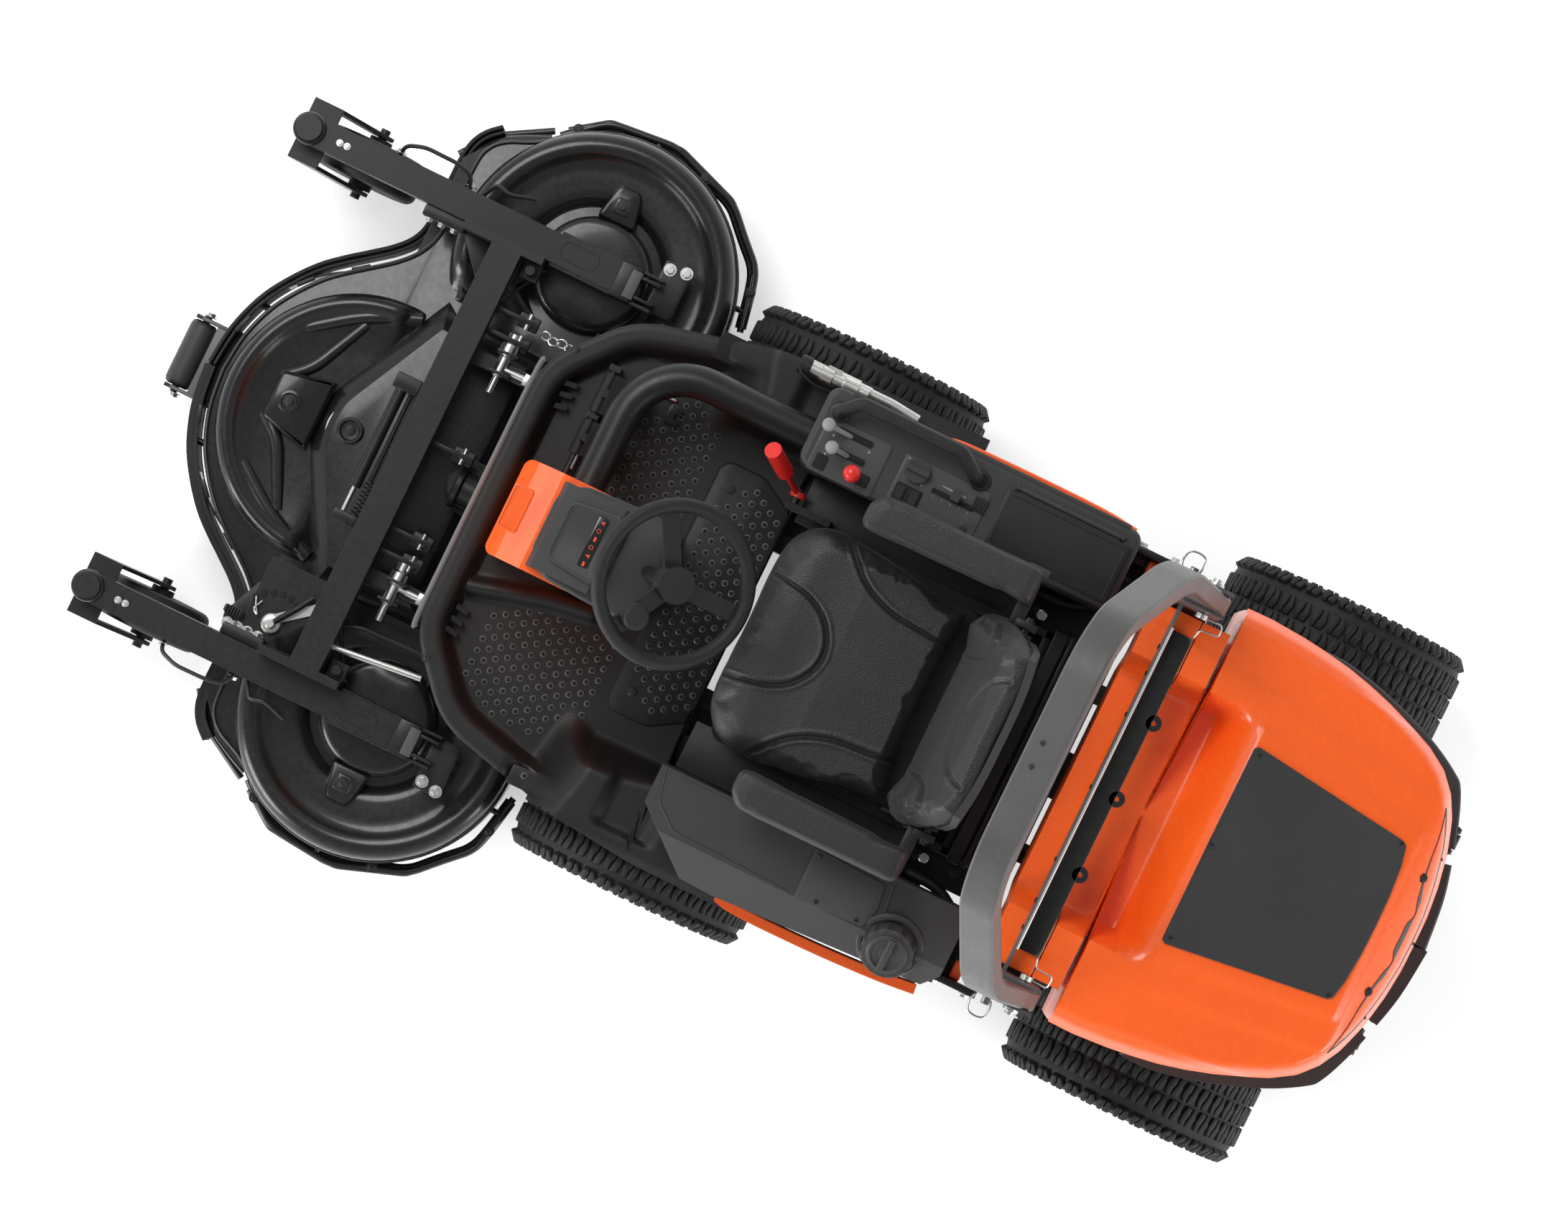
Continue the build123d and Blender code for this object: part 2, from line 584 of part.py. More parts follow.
def seat_cushion():
    edge = [(120, -75), (215, -50), (248, 20), (248, 120), (235, 220), (204, 325)]
    outline = edge + [(-x, y) for x, y in reversed(edge)]
    body = plan(outline, PAN_TOP + 0.3, SEAT_TOP)
    return fillet(body.edges().group_by(Axis.Z)[-1], 22)


def seat_back():
    profile = [(350, PAN_TOP + 5), (400, PAN_TOP + 5), (475, BACK_TOP - 40), (470, BACK_TOP),
               (410, BACK_TOP), (350, SEAT_TOP + 40)]
    back = side(profile, -198, 198)
    back = fillet(back.edges().group_by(Axis.Z)[-1], 15)
    hinge = both(rod_x(196, 214, RECLINE_Y, RECLINE_Z, 8))
    arm_pin = both(rod_x(196, 236, ARM_PIVOT_Y, ARM_PIVOT_Z, 9))
    carrier = both(block(196, 204, 396, 440, ARM_PIVOT_Z - 30, ARM_PIVOT_Z + 20))
    return back + hinge + arm_pin + carrier


def armrest(hand):
    x0, x1 = 251, 330
    pad = block(x0, x1, 50, 412, 920, 965, 28)
    pad = fillet(pad.edges().filter_by(Plane.XY).group_by(Axis.Z)[-1], 12)
    stem = block(212, 226, 400, 440, 885, 925)
    stem += block(212, 300, 385, 412, 905, 920)
    stem += block(212, 226, 385, 412, 890, 920)
    stem -= rod_x(200, 240, ARM_PIVOT_Y, ARM_PIVOT_Z, 9 + RUN)
    piece = pad + stem
    return piece if hand > 0 else mirror(piece, Plane.YZ)


write("seat_pan", seat_pan())
write("seat_cushion", seat_cushion())
write("seat_back", seat_back())
write("armrest_left", armrest(1))
write("armrest_right", armrest(-1))

# ---- roll-over structure ----
LEAN = tan(radians(HOOP_LEAN))
HOOP_PLANE_Y = HOOP_END_Y + (HOOP_PIVOT_Z - HOOP_END_Z) * -LEAN


def hoop_frame(shape):
    """Leans an upright hoop drawn with its pivot on the datum into place."""
    return Pos(0, HOOP_PLANE_Y, HOOP_PIVOT_Z) * Rot(HOOP_LEAN, 0, 0) * shape


def rops_hoop():
    rise = (HOOP_TOP_Z - HOOP_PIVOT_Z) / cos(radians(HOOP_LEAN))
    drop = -34.0
    shoulder = rise * 0.49
    t = HOOP_IN_PLANE
    outer = [(HOOP_HALF_W, drop), (HOOP_HALF_W, shoulder), (HOOP_HALF_W - 150, rise - 50),
             (HOOP_HALF_W - 225, rise)]
    inner = [(HOOP_HALF_W - t, drop), (HOOP_HALF_W - t, shoulder - 8),
             (HOOP_HALF_W - t - 145, rise - 50 - t * 0.7), (HOOP_HALF_W - t - 190, rise - t)]
    left = [(-x, z) for x, z in outer]
    left_in = [(-x, z) for x, z in inner]
    points = outer + left[::-1] + left_in + inner[::-1]
    hoop = front(points, -HOOP_DEPTH / 2, HOOP_DEPTH / 2)
    hoop -= rod_x(-500, 500, 0, 0, 10 + RUN)
    return hoop_frame(hoop)


def rops_base():
    x0, x1 = HOOP_HALF_W - HOOP_IN_PLANE, HOOP_HALF_W
    post = block(x0, x1, HOOP_PLANE_Y - 33, HOOP_PLANE_Y + 33, UPPER_TOP, HOOP_PIVOT_Z - 50)
    cheeks = block(x1 + 0.3, x1 + 7, HOOP_PLANE_Y - 60, HOOP_PLANE_Y + 33, 960, HOOP_PIVOT_Z + 80)
    cheeks += block(x0 - 7, x0 - 0.3, HOOP_PLANE_Y - 60, HOOP_PLANE_Y + 33, 960, HOOP_PIVOT_Z + 80)
    cheeks += block(x0 - 7, x1 + 7, HOOP_PLANE_Y - 33, HOOP_PLANE_Y + 33, 960, 975)
    pin = rod_x(x0 - 12, x1 + 16, HOOP_PLANE_Y, HOOP_PIVOT_Z, 10)
    stow = rod_x(x1 + 6, x1 + 26, HOOP_PLANE_Y - 45, 1040, 8)
    half = post + cheeks + pin + stow
    bar = block(-x0 + 7, x0 - 7, HOOP_PLANE_Y - 40, HOOP_PLANE_Y - 34, 985, 1030)
    bar += block(-330, 330, HOOP_PLANE_Y - 34, HOOP_PLANE_Y + 12, 985, 991)
    for x in (-LUG_PITCH, 0, LUG_PITCH):
        bar += rod_z(x, HOOP_PLANE_Y + 14, 985, 991, 15)
        bar -= rod_z(x, HOOP_PLANE_Y + LUG_BACK, 980, 995, LUG_HOLE_R)
    return both(half) + bar


write("rops_hoop", rops_hoop())
write("rops_base", rops_base())

# ---- engine bay ----
ENGINE_Y = (830.0, 1150.0)


def engine():
    y0, y1 = ENGINE_Y
    body = block(-140, 140, y0, y1, 622, 800, 15)
    head = block(-110, 110, y0 + 20, y1 - 30, 800, 885, 12)
    feet = both(block(140, 175, y0 + 30, y0 + 80, UPPER_TOP, 650))
    feet += both(block(140, 175, y1 - 80, y1 - 30, UPPER_TOP, 650))
    pulley = rod_y(0, y1, y1 + 22, 700, 60)
    pump = rod_y(0, 705, y0, 700, 48) + block(-60, 60, 745, y0, 650, 760, 10)
    return body + head + feet + pulley, pump - body


def radiator():
    core = block(-190, 190, 1190, 1232, UPPER_TOP, 880)
    fan = rod_y(0, 1180, 1190, 740, 110)
    return core + fan


write("engine", *engine(), radiator())
write("battery", block(-350, -225, 845, 995, UPPER_TOP, 790, 6))


# ---- hood ----
def hood_outline(front_y=HOOD_FRONT_Y):
    notch_x = HOOP_HALF_W - HOOP_IN_PLANE - 18
    edge = [(notch_x, front_y), (notch_x, 765), (HOOD_HALF_W, 765), (HOOD_HALF_W - 8, 930),
            (HOOD_HALF_W - 32, 1060), (360, 1160), (322, 1250), (262, 1300), (150, 1334),
            (60, HOOD_REAR_Y - 2)]
    return edge + [(-x, y) for x, y in reversed(edge)]


def hood_body(inset, bottom, front_y=HOOD_FRONT_Y):
    body = plan(hood_outline(front_y), bottom, 1010, -inset)
    profile = [(600, bottom), (600, 935), (700, 960), (880, 990), (900, 1000), (1262, 972),
               (1310, 945), (1340, 900), (1360, 820), (1360, bottom)]
    profile = [(y, z - inset if z > bottom else z) for y, z in profile]
    body &= side(profile, -500, 500)
    valley = side([(590, 890 - inset), (850 + inset, 900 - inset), (900 + inset, 1002),
                   (590, 1100)], -255 - inset, 255 + inset)
    return body - valley


def hood():
    shell = hood_body(0, HOOD_BOTTOM)
    open_front = HOOD_FRONT_Y - 3 * HOOD_WALL
    return shell - hood_body(HOOD_WALL, HOOD_BOTTOM - 5, open_front)


def cowl():
    """Fixed front of the hood's shape, under the bar between the posts."""
    shell = hood_body(0, UPPER_TOP, COWL_FRONT_Y) - hood_body(HOOD_WALL, UPPER_TOP - 5, COWL_FRONT_Y)
    return shell & block(-400, 400, COWL_FRONT_Y, HOOD_FRONT_Y - 2, UPPER_TOP, 1100)


def hood_plate():
    outline = [(203, 902), (-203, 902), (-168, 1232), (-120, 1246), (0, 1252), (120, 1246),
               (168, 1232)]
    slope = [(880, 1001.6), (1262, 972), (1262, 976), (880, 1005.6)]
    return plan(outline, 900, 1100) & side(slope, -300, 300)


def rear_bumper():
    """Band round the tail of the hood, with the knuckles of the hood hinge."""
    z0, z1 = HOOD_BOTTOM - 26, HOOD_BOTTOM + 62
    band = plan(hood_outline(), z0, z1, BUMPER_T) - plan(hood_outline(), z0 - 1, z1 + 1)
    band &= block(-520, 520, 1045, 1400, 500, 800)
    knuckle = rod_x(200, 230, HINGE_Y, HINGE_Z, 13)
    knuckle += block(200, 230, HINGE_Y - 8, HINGE_Y + 8, HINGE_Z, z0 + 6) - plan(
        hood_outline(), z0, z0 + 50)
    return band + both(knuckle) - rod_x(-300, 300, HINGE_Y, HINGE_Z, 6 + RUN)


write("hood", hood())
write("side_panels", *side_panels(), cowl())
write("hood_plate", hood_plate())
write("rear_bumper", rear_bumper())


# ---- steering bogie ----
AXLE_ROLL_R = 24.0
ROLL_Y = REAR_AXLE_Y - 150


def bogie_frame():
    hub = rod_z(0, PIVOT_Y, HUB_LOW, HUB_HIGH, 45)
    beam = block(-50, 50, PIVOT_Y, ROLL_Y - 40, HUB_LOW + 25, HUB_HIGH - 25)
    end = block(-60, 60, ROLL_Y - 40, ROLL_Y, 190, 325, 10)
    pin = rod_y(0, ROLL_Y, ROLL_Y + 190, TYRE_R, AXLE_ROLL_R)
    return hub + beam + end + pin - rod_z(0, PIVOT_Y, 100, 400, PIVOT_R + RUN)


def rear_axle():
    tube = block(-175, 175, ROLL_Y + 100, ROLL_Y + 185, 205, 300, 12)
    tube += rod_y(0, ROLL_Y + 1, ROLL_Y + 186, TYRE_R, 44)
    stub_in, stub_out = 175, REAR_X + 60
    motors = both(rod_x(stub_in, REAR_X - 110, REAR_AXLE_Y, TYRE_R, 62)
                  + rod_x(REAR_X - 110, stub_out, REAR_AXLE_Y, TYRE_R, STUB_R))
    return tube + motors - rod_y(0, ROLL_Y - 5, ROLL_Y + 250, TYRE_R, AXLE_ROLL_R + RUN)


write("bogie_frame", bogie_frame())
write("rear_axle", rear_axle())


# ---- cutting deck ----
SPINDLES = [(SPINDLE_X, SIDE_SPINDLE_Y), (0.0, MID_SPINDLE_Y), (-SPINDLE_X, SIDE_SPINDLE_Y)]


def deck_outline():
    edge = [(400, -975), (590, -975), (665, -915), (700, -840), (690, -560), (590, -385),
            (300, -352)]
    return edge + [(-x, y) for x, y in reversed(edge)]


def deck_solid(inset, z0, z1):
    body = plan(deck_outline(), z0, z1, -inset)
    for x, y in SPINDLES:
        body += rod_z(x, y, z0, z1, LOBE_R - inset)
    return body


def deck_shell():
    shell = deck_solid(0, DECK_BOTTOM, DECK_TOP)
    shell -= deck_solid(DECK_WALL, DECK_BOTTOM - 1, DECK_TOP - DECK_WALL)
    for x, y in SPINDLES:
        shell -= rod_z(x, y, 100, 300, 36)
    return shell


def cover_solid(inset, z0, z1):
    body = plan([(SPINDLE_X, SIDE_SPINDLE_Y + 85), (SPINDLE_X, SIDE_SPINDLE_Y - 100),
                 (100, MID_SPINDLE_Y - 60), (-100, MID_SPINDLE_Y - 60),
                 (-SPINDLE_X, SIDE_SPINDLE_Y - 100), (-SPINDLE_X, SIDE_SPINDLE_Y + 85)],
                z0, z1, -inset)
    for x, y in SPINDLES:
        body += rod_z(x, y, z0, z1, 245 - inset)
    return body


def belt_covers():
    shell = cover_solid(0, DECK_TOP, COVER_TOP)
    shell = fillet(shell.edges().filter_by(Plane.XY).group_by(Axis.Z)[-1], 12)
    return shell - cover_solid(WALL, DECK_TOP - 1, COVER_TOP - WALL)


def deck_drive():
    """Spindle housings, and the hydraulic motor over the middle of the covers."""
    pieces = []
    for x, y in SPINDLES:
        housing = rod_z(x, y, 132, DECK_TOP, 35.5) + rod_z(x, y, DECK_TOP, DECK_TOP + 10, 50)
        pieces.append(housing - rod_z(x, y, 100, 300, 12.5 + RUN))
    motor = rod_z(0, -672, COVER_TOP, COVER_TOP + 50, 42)
    motor += block(-55, 55, -694, -650, COVER_TOP, COVER_TOP + 12)
    posts = both(rod_z(POST_X, POST_Y, COVER_TOP, ARM_TOP + 40, POST_R))
    return pieces + [motor, posts]


def blade(x, y):
    """Spindle shaft with its pulley above and the cutting bar below."""
    shaft_piece = rod_z(x, y, 92, 238, 12.5)
    pulley = rod_z(x, y, DECK_TOP + 11, DECK_TOP + 33, PULLEY_R)
    collar = rod_z(x, y, 100, 131, 22)
    bar = Pos(x, y, 97) * Box(2 * BLADE_R - 2, 64, 6)
    bar = bar & rod_z(x, y, 90, 110, BLADE_R)
    wings = Pos(x + BLADE_R - 60, y + 22, 108) * Rot(-35, 0, 0) * Box(90, 26, 5)
    wings += Pos(x - BLADE_R + 60, y - 22, 108) * Rot(35, 0, 0) * Box(90, 26, 5)
    return shaft_piece + pulley + collar + bar + wings


def belt_ring(r, z0, z1):
    """Solid inside a loop that runs round the three pulleys."""
    points = []
    for i, (x, y) in enumerate(SPINDLES):
        prev_x, prev_y = SPINDLES[i - 1]
        next_x, next_y = SPINDLES[(i + 1) % 3]
        for ox, oy, flip in ((prev_x, prev_y, 1), (next_x, next_y, -1)):
            dx, dy = (x - ox) * flip, (y - oy) * flip
            length = sqrt(dx * dx + dy * dy)
            points.append((x - dy / length * r, y + dx / length * r))
    body = plan(points, z0, z1)
    for x, y in SPINDLES:
        body += rod_z(x, y, z0, z1, r)
    return body


def drive_belt():
    z0, z1 = DECK_TOP + 16, DECK_TOP + 28
    inner_r = PULLEY_R + 0.1
    return belt_ring(inner_r + BELT_T, z0, z1) - belt_ring(inner_r, z0 - 1, z1 + 1)


def guard_rail():
    """Bent side rails round the deck, the front band and the roller fork."""
    z = 150.0
    rear = [(735, -812, z), (786, -742, z), (798, -590, z), (750, -455, z), (652, -356, z),
            (520, -326, z)]
    fore = [(596, -990, z), (660, -943, z), (722, -836, z)]
    rail = pipe(rear, [30, 45, 40, 30], 7) + pipe(fore, [20], 7)
    tabs = rod_x(640, 789, SIDE_SPINDLE_Y, z, 6) + rod_y(560, -420, -334, z, 6)
    tabs += rod_y(662, -935, -860, z, 6)
    rails = both(rail + tabs - deck_solid(0, 0, 400))
    band = rod_z(0, MID_SPINDLE_Y, 120, 180, LOBE_R + 36)
    band -= rod_z(0, MID_SPINDLE_Y, 110, 190, LOBE_R + 31)
    band &= block(-400, 400, -1400, -1040, 0, 400)
    for x in (-150, 150):
        band += rod_y(x, -1215, -1060, 150, 7)
    y_band = MID_SPINDLE_Y - LOBE_R - 20
    fork = block(-76, 76, y_band - 27, y_band + 20, 118, 130)
    fork += both(block(72, 80, ROLLER_Y - 20, y_band + 20, ROLLER_Z - 14, 130))
    fork += rod_x(-86, 86, ROLLER_Y, ROLLER_Z, 8)
    middle = (band + fork) - deck_solid(0, 0, 400)
    return rails, middle


def front_roller():
    return rod_x(-71, 71, ROLLER_Y, ROLLER_Z, ROLLER_R) - rod_x(-80, 80, ROLLER_Y, ROLLER_Z,
                                                               8 + RUN)


write("deck_shell", deck_shell())
write("belt_covers", belt_covers())
write("deck_drive", *deck_drive())
write("drive_belt", drive_belt())
write("blade_left", blade(*SPINDLES[0]))
write("blade_middle", blade(*SPINDLES[1]))
write("blade_right", blade(*SPINDLES[2]))
write("guard_rail", *guard_rail())
write("front_roller", front_roller())


# ---- equipment frame ----
def lift_frame():
    beam = block(-455, 455, BEAM_Y - BEAM_SIZE / 2, BEAM_Y + BEAM_SIZE / 2, BEAM_BOTTOM,
                 BEAM_BOTTOM + BEAM_SIZE)
    beam -= block(-456, 456, BEAM_Y - BEAM_SIZE / 2 + 5, BEAM_Y + BEAM_SIZE / 2 - 5,
                  BEAM_BOTTOM + 5, BEAM_BOTTOM + BEAM_SIZE - 5)
    end = block(455, ARM_X - ARM_SIZE / 2, -900, POST_Y + 18, ARM_TOP - ARM_SIZE,
                BEAM_BOTTOM + BEAM_SIZE)
    end += block(POST_X - 18, 455, POST_Y - 18, POST_Y + 18, ARM_TOP - 50, ARM_TOP + 5)
    end -= rod_z(POST_X, POST_Y, 200, 500, POST_R + RUN)
    arm_y = BEAM_Y + BEAM_SIZE / 2 - 10
    arm = block(LIFT_ARM_X - 15, LIFT_ARM_X + 15, arm_y - 40, LIFT_Y, LIFT_Z - 22, BEAM_BOTTOM)
    arm += rod_x(LIFT_ARM_X - 15, LIFT_ARM_X + 15, LIFT_Y, LIFT_Z, 23)
    arm -= rod_x(100, 400, LIFT_Y, LIFT_Z, 12 + RUN)
    quadrant = block(290, 455, -960, -840, 300, 306)
    stud = rod_z(413, -905, 306, 326, 9)
    return beam + both(end + arm) + quadrant + stud


def caster_arms():
    z0 = ARM_TOP - ARM_SIZE
    x0, x1 = ARM_X - ARM_SIZE / 2, ARM_X + ARM_SIZE / 2
    tube = block(x0, x1, CASTER_Y + 10, -588, z0, ARM_TOP)
    tube -= block(x0 + 4, x1 - 4, CASTER_Y - 10, -580, z0 + 4, ARM_TOP - 4)
    tube += rod_z(ARM_X, CASTER_Y, z0, ARM_TOP + 6, 32)
    tube += block(x0 - 6, x0, -720, -500, z0, ARM_TOP - 5)
    tube += block(x1, x1 + 6, -720, -500, z0, ARM_TOP - 5)
    tube += block(x0, x1, -588, -545, ARM_TOP - 12, ARM_TOP - 5)
    tube += rod_x(x0 - 6, x1 + 14, -500, z0 + 15, 8)
    tube -= rod_z(ARM_X, CASTER_Y, 200, 400, 12 + RUN)
    return both(tube)


def height_lever():
    plate = plan([(400, -916), (424, -916), (350, -822), (332, -832)], 308, 312)
    plate += rod_z(413, -905, 308, 316, 18)
    return plate - rod_z(413, -905, 300, 330, 9 + RUN)


def caster_fork(hand):
    axle_y = CASTER_Y + CASTER_TRAIL
    top = ARM_TOP - ARM_SIZE - 0.5
    plate = block(ARM_X - 65, ARM_X + 65, CASTER_Y - 23, CASTER_Y + 40, top - 10, top)
    leg = [(CASTER_Y - 20, top), (CASTER_Y + 38, top), (axle_y + 23, CASTER_R + 4),
           (axle_y + 12, CASTER_R - 20), (axle_y - 22, CASTER_R - 18), (CASTER_Y - 20, top - 30)]
    legs = side(leg, ARM_X - 65, ARM_X - 57) + side(leg, ARM_X + 57, ARM_X + 65)
    king = rod_z(ARM_X, CASTER_Y, top - 2, ARM_TOP + 20, 12)
    cap = rod_z(ARM_X, CASTER_Y, ARM_TOP + 6.5, ARM_TOP + 24, 26)
    axle = rod_x(ARM_X - 76, ARM_X + 76, axle_y, CASTER_R, 10)
    fork = plate + legs + king + cap + axle
    return fork if hand > 0 else mirror(fork, Plane.YZ)


def caster_wheel(hand):
    axle_y = CASTER_Y + CASTER_TRAIL
    wheel = rod_x(ARM_X - CASTER_W / 2, ARM_X + CASTER_W / 2, axle_y, CASTER_R, CASTER_R)
    wheel = fillet(wheel.edges(), 18)
    hub = rod_x(ARM_X - 54, ARM_X + 54, axle_y, CASTER_R, 24)
    wheel = wheel + hub - rod_x(ARM_X - 80, ARM_X + 80, axle_y, CASTER_R, 10 + RUN)
    return wheel if hand > 0 else mirror(wheel, Plane.YZ)


write("lift_frame", lift_frame())
write("caster_arms", caster_arms())
write("height_lever", height_lever())
for name, hand in (("left", 1), ("right", -1)):
    write(f"caster_fork_{name}", caster_fork(hand))
    write(f"caster_wheel_{name}", caster_wheel(hand))


# ---- hydraulic couplings on the right fender ----
def hydraulic_couplings():
    z = FENDER_Z + FENDER_T + 40
    x = -500.0
    foot = block(x - 16, x + 16, -130, -100, FENDER_Z + FENDER_T, z + 18)
    body = rod_y(x, -165, -35, z, 13) + rod_y(x, -100, -60, z, 16)
    feed = pipe([(x, -36, z), (x, 10, z), (x + 6, 70, z)], [120], 11)
    return foot + body + feed


write("hydraulic_couplings", hydraulic_couplings())
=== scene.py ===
import json
import math

import bmesh
import bpy
from mathutils import Matrix, Vector
from mathutils.geometry import tessellate_polygon

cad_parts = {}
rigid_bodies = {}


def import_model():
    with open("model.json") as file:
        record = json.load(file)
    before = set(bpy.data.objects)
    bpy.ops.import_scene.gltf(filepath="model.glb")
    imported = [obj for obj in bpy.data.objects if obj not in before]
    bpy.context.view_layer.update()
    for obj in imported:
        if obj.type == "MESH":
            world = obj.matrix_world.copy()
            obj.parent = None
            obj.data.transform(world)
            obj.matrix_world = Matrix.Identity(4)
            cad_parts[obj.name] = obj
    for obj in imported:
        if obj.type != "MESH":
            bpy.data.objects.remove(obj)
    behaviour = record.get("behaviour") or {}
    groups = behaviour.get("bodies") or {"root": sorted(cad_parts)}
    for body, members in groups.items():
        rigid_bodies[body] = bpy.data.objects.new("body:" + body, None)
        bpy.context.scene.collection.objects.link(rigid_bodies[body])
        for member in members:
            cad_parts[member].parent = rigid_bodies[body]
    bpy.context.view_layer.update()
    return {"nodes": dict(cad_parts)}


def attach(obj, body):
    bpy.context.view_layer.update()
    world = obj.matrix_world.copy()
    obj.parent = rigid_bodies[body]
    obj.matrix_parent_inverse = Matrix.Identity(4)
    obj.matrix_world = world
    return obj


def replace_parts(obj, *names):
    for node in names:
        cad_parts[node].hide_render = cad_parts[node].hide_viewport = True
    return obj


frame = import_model()
nodes = frame["nodes"]

# Sizes are in the drawing's millimetres. The drawing's zero lies this far in front of the middle of the mower.
MIDDLE = 23.5


def at(x, y, z):
    return Vector((x, y - MIDDLE, z)) / 1000


# ---------------------------------------------------------------- camera, light and floor

camera_data = bpy.data.cameras.new("overhead_camera")
camera = bpy.data.objects.new("overhead_camera", camera_data)
bpy.context.collection.objects.link(camera)
camera.location = (0.1, -0.0235, 12.0)
camera.rotation_euler = (0, 0, math.radians(115.9))
camera_data.lens = 135.5
camera_data.sensor_width = 36
camera_data.shift_x = 0.0210
camera_data.shift_y = 0.0432
camera_data.clip_end = 60
bpy.context.scene.camera = camera
bpy.context.scene.view_settings.view_transform = "Standard"


def studio_sky(overhead, horizon):
    """A soft room: dim straight above, bright all round, so that upright edges catch the light."""
    world = bpy.data.worlds.new("studio_room")
    bpy.context.scene.world = world
    world.use_nodes = True
    tree = world.node_tree
    back = tree.nodes["Background"]
    coordinates = tree.nodes.new("ShaderNodeTexCoord")
    split = tree.nodes.new("ShaderNodeSeparateXYZ")
    ramp = tree.nodes.new("ShaderNodeValToRGB")
    ramp.color_ramp.elements[0].position = 0.05
    ramp.color_ramp.elements[0].color = (horizon, horizon, horizon, 1)
    ramp.color_ramp.elements[1].position = 0.9
    ramp.color_ramp.elements[1].color = (overhead, overhead, overhead, 1)
    tree.links.new(coordinates.outputs["Generated"], split.inputs[0])
    tree.links.new(split.outputs["Z"], ramp.inputs["Fac"])
    tree.links.new(ramp.outputs["Color"], back.inputs["Color"])


def soft_box(name, place, target, width, power):
    lamp = bpy.data.lights.new(name, "AREA")
    lamp.shape = "SQUARE"
    lamp.size = width
    lamp.energy = power
    holder = bpy.data.objects.new(name, lamp)
    bpy.context.collection.objects.link(holder)
    holder.location = place
    holder.rotation_mode = "QUATERNION"
    holder.rotation_quaternion = (Vector(target) - Vector(place)).to_track_quat("-Z", "Y")


studio_sky(0.30, 1.0)
soft_box("overhead_panel", (-2.5, -3.5, 7.0), (0, 0, 0.4), 4.0, 300)
soft_box("side_panel", (5.0, -4.0, 2.6), (0, 0, 0.4), 3.0, 260)
soft_box("tail_panel", (2.0, 6.0, 3.2), (0, 0.3, 0.4), 3.0, 160)

# ---------------------------------------------------------------- finishes


class Finish:
    """A node material that is built up step by step."""

    def __init__(self, name):
        self.material = bpy.data.materials.new(name)
        self.material.use_nodes = True
        self.tree = self.material.node_tree
        self.shader = self.tree.nodes["Principled BSDF"]
        self.coordinates = self.add("ShaderNodeTexCoord").outputs["Object"]

    def add(self, kind, **settings):
        node = self.tree.nodes.new(kind)
        for key, value in settings.items():
            setattr(node, key, value)
        return node

    def link(self, start, end):
        self.tree.links.new(start, end)

    def noise(self, scale, detail=3.0, rough=0.5, stretch=None):
        node = self.add("ShaderNodeTexNoise")
        node.inputs["Scale"].default_value = scale
        node.inputs["Detail"].default_value = detail
        node.inputs["Roughness"].default_value = rough
        source = self.coordinates
        if stretch:
            mapping = self.add("ShaderNodeMapping")
            mapping.inputs["Scale"].default_value = stretch
            self.link(source, mapping.inputs["Vector"])
            source = mapping.outputs["Vector"]
        self.link(source, node.inputs["Vector"])
        return node.outputs[0]

    def cells(self, scale, feature="F1", jitter=1.0):
        node = self.add("ShaderNodeTexVoronoi", feature=feature)
        node.inputs["Scale"].default_value = scale
        node.inputs["Randomness"].default_value = jitter
        self.link(self.coordinates, node.inputs["Vector"])
        return node.outputs["Distance"]

    def spread(self, value, low, high, start=0.3, stop=0.7):
        node = self.add("ShaderNodeMapRange")
        node.inputs["From Min"].default_value = start
        node.inputs["From Max"].default_value = stop
        node.inputs["To Min"].default_value = low
        node.inputs["To Max"].default_value = high
        self.link(value, node.inputs["Value"])
        return node.outputs["Result"]

    def mix(self, factor, first, second):
        node = self.add("ShaderNodeMix", data_type="RGBA")
        self.link(factor, node.inputs["Factor"])
        for socket, value in ((node.inputs[6], first), (node.inputs[7], second)):
            if isinstance(value, tuple):
                socket.default_value = (*value, 1)
            else:
                self.link(value, socket)
        return node.outputs[2]

    def bump(self, height, strength, distance, under=None):
        node = self.add("ShaderNodeBump")
        node.inputs["Strength"].default_value = strength
        node.inputs["Distance"].default_value = distance
        self.link(height, node.inputs["Height"])
        if under:
            self.link(under, node.inputs["Normal"])
        return node.outputs["Normal"]

    def edges(self, radius):
        """A rounded edge normal, and a mask that is 1 on the edges."""
        node = self.add("ShaderNodeBevel", samples=4)
        node.inputs["Radius"].default_value = radius
        shape = self.add("ShaderNodeNewGeometry")
        dot = self.add("ShaderNodeVectorMath", operation="DOT_PRODUCT")
        self.link(node.outputs["Normal"], dot.inputs[0])
        self.link(shape.outputs["Normal"], dot.inputs[1])
        return node.outputs["Normal"], self.spread(dot.outputs["Value"], 1.0, 0.0, 0.72, 0.97)

    def set(self, **values):
        names = {"rough": "Roughness", "metal": "Metallic", "coat": "Coat Weight",
                 "coat_rough": "Coat Roughness", "spec": "Specular IOR Level", "sheen": "Sheen Weight"}
        for key, value in values.items():
            self.shader.inputs[names[key]].default_value = value

    def colour(self, output):
        self.link(output, self.shader.inputs["Base Color"])

    def roughness(self, output):
        self.link(output, self.shader.inputs["Roughness"])

    def normal(self, output):
        self.link(output, self.shader.inputs["Normal"])


def tone(value, factor):
    return tuple(min(1.0, c * factor) for c in value)


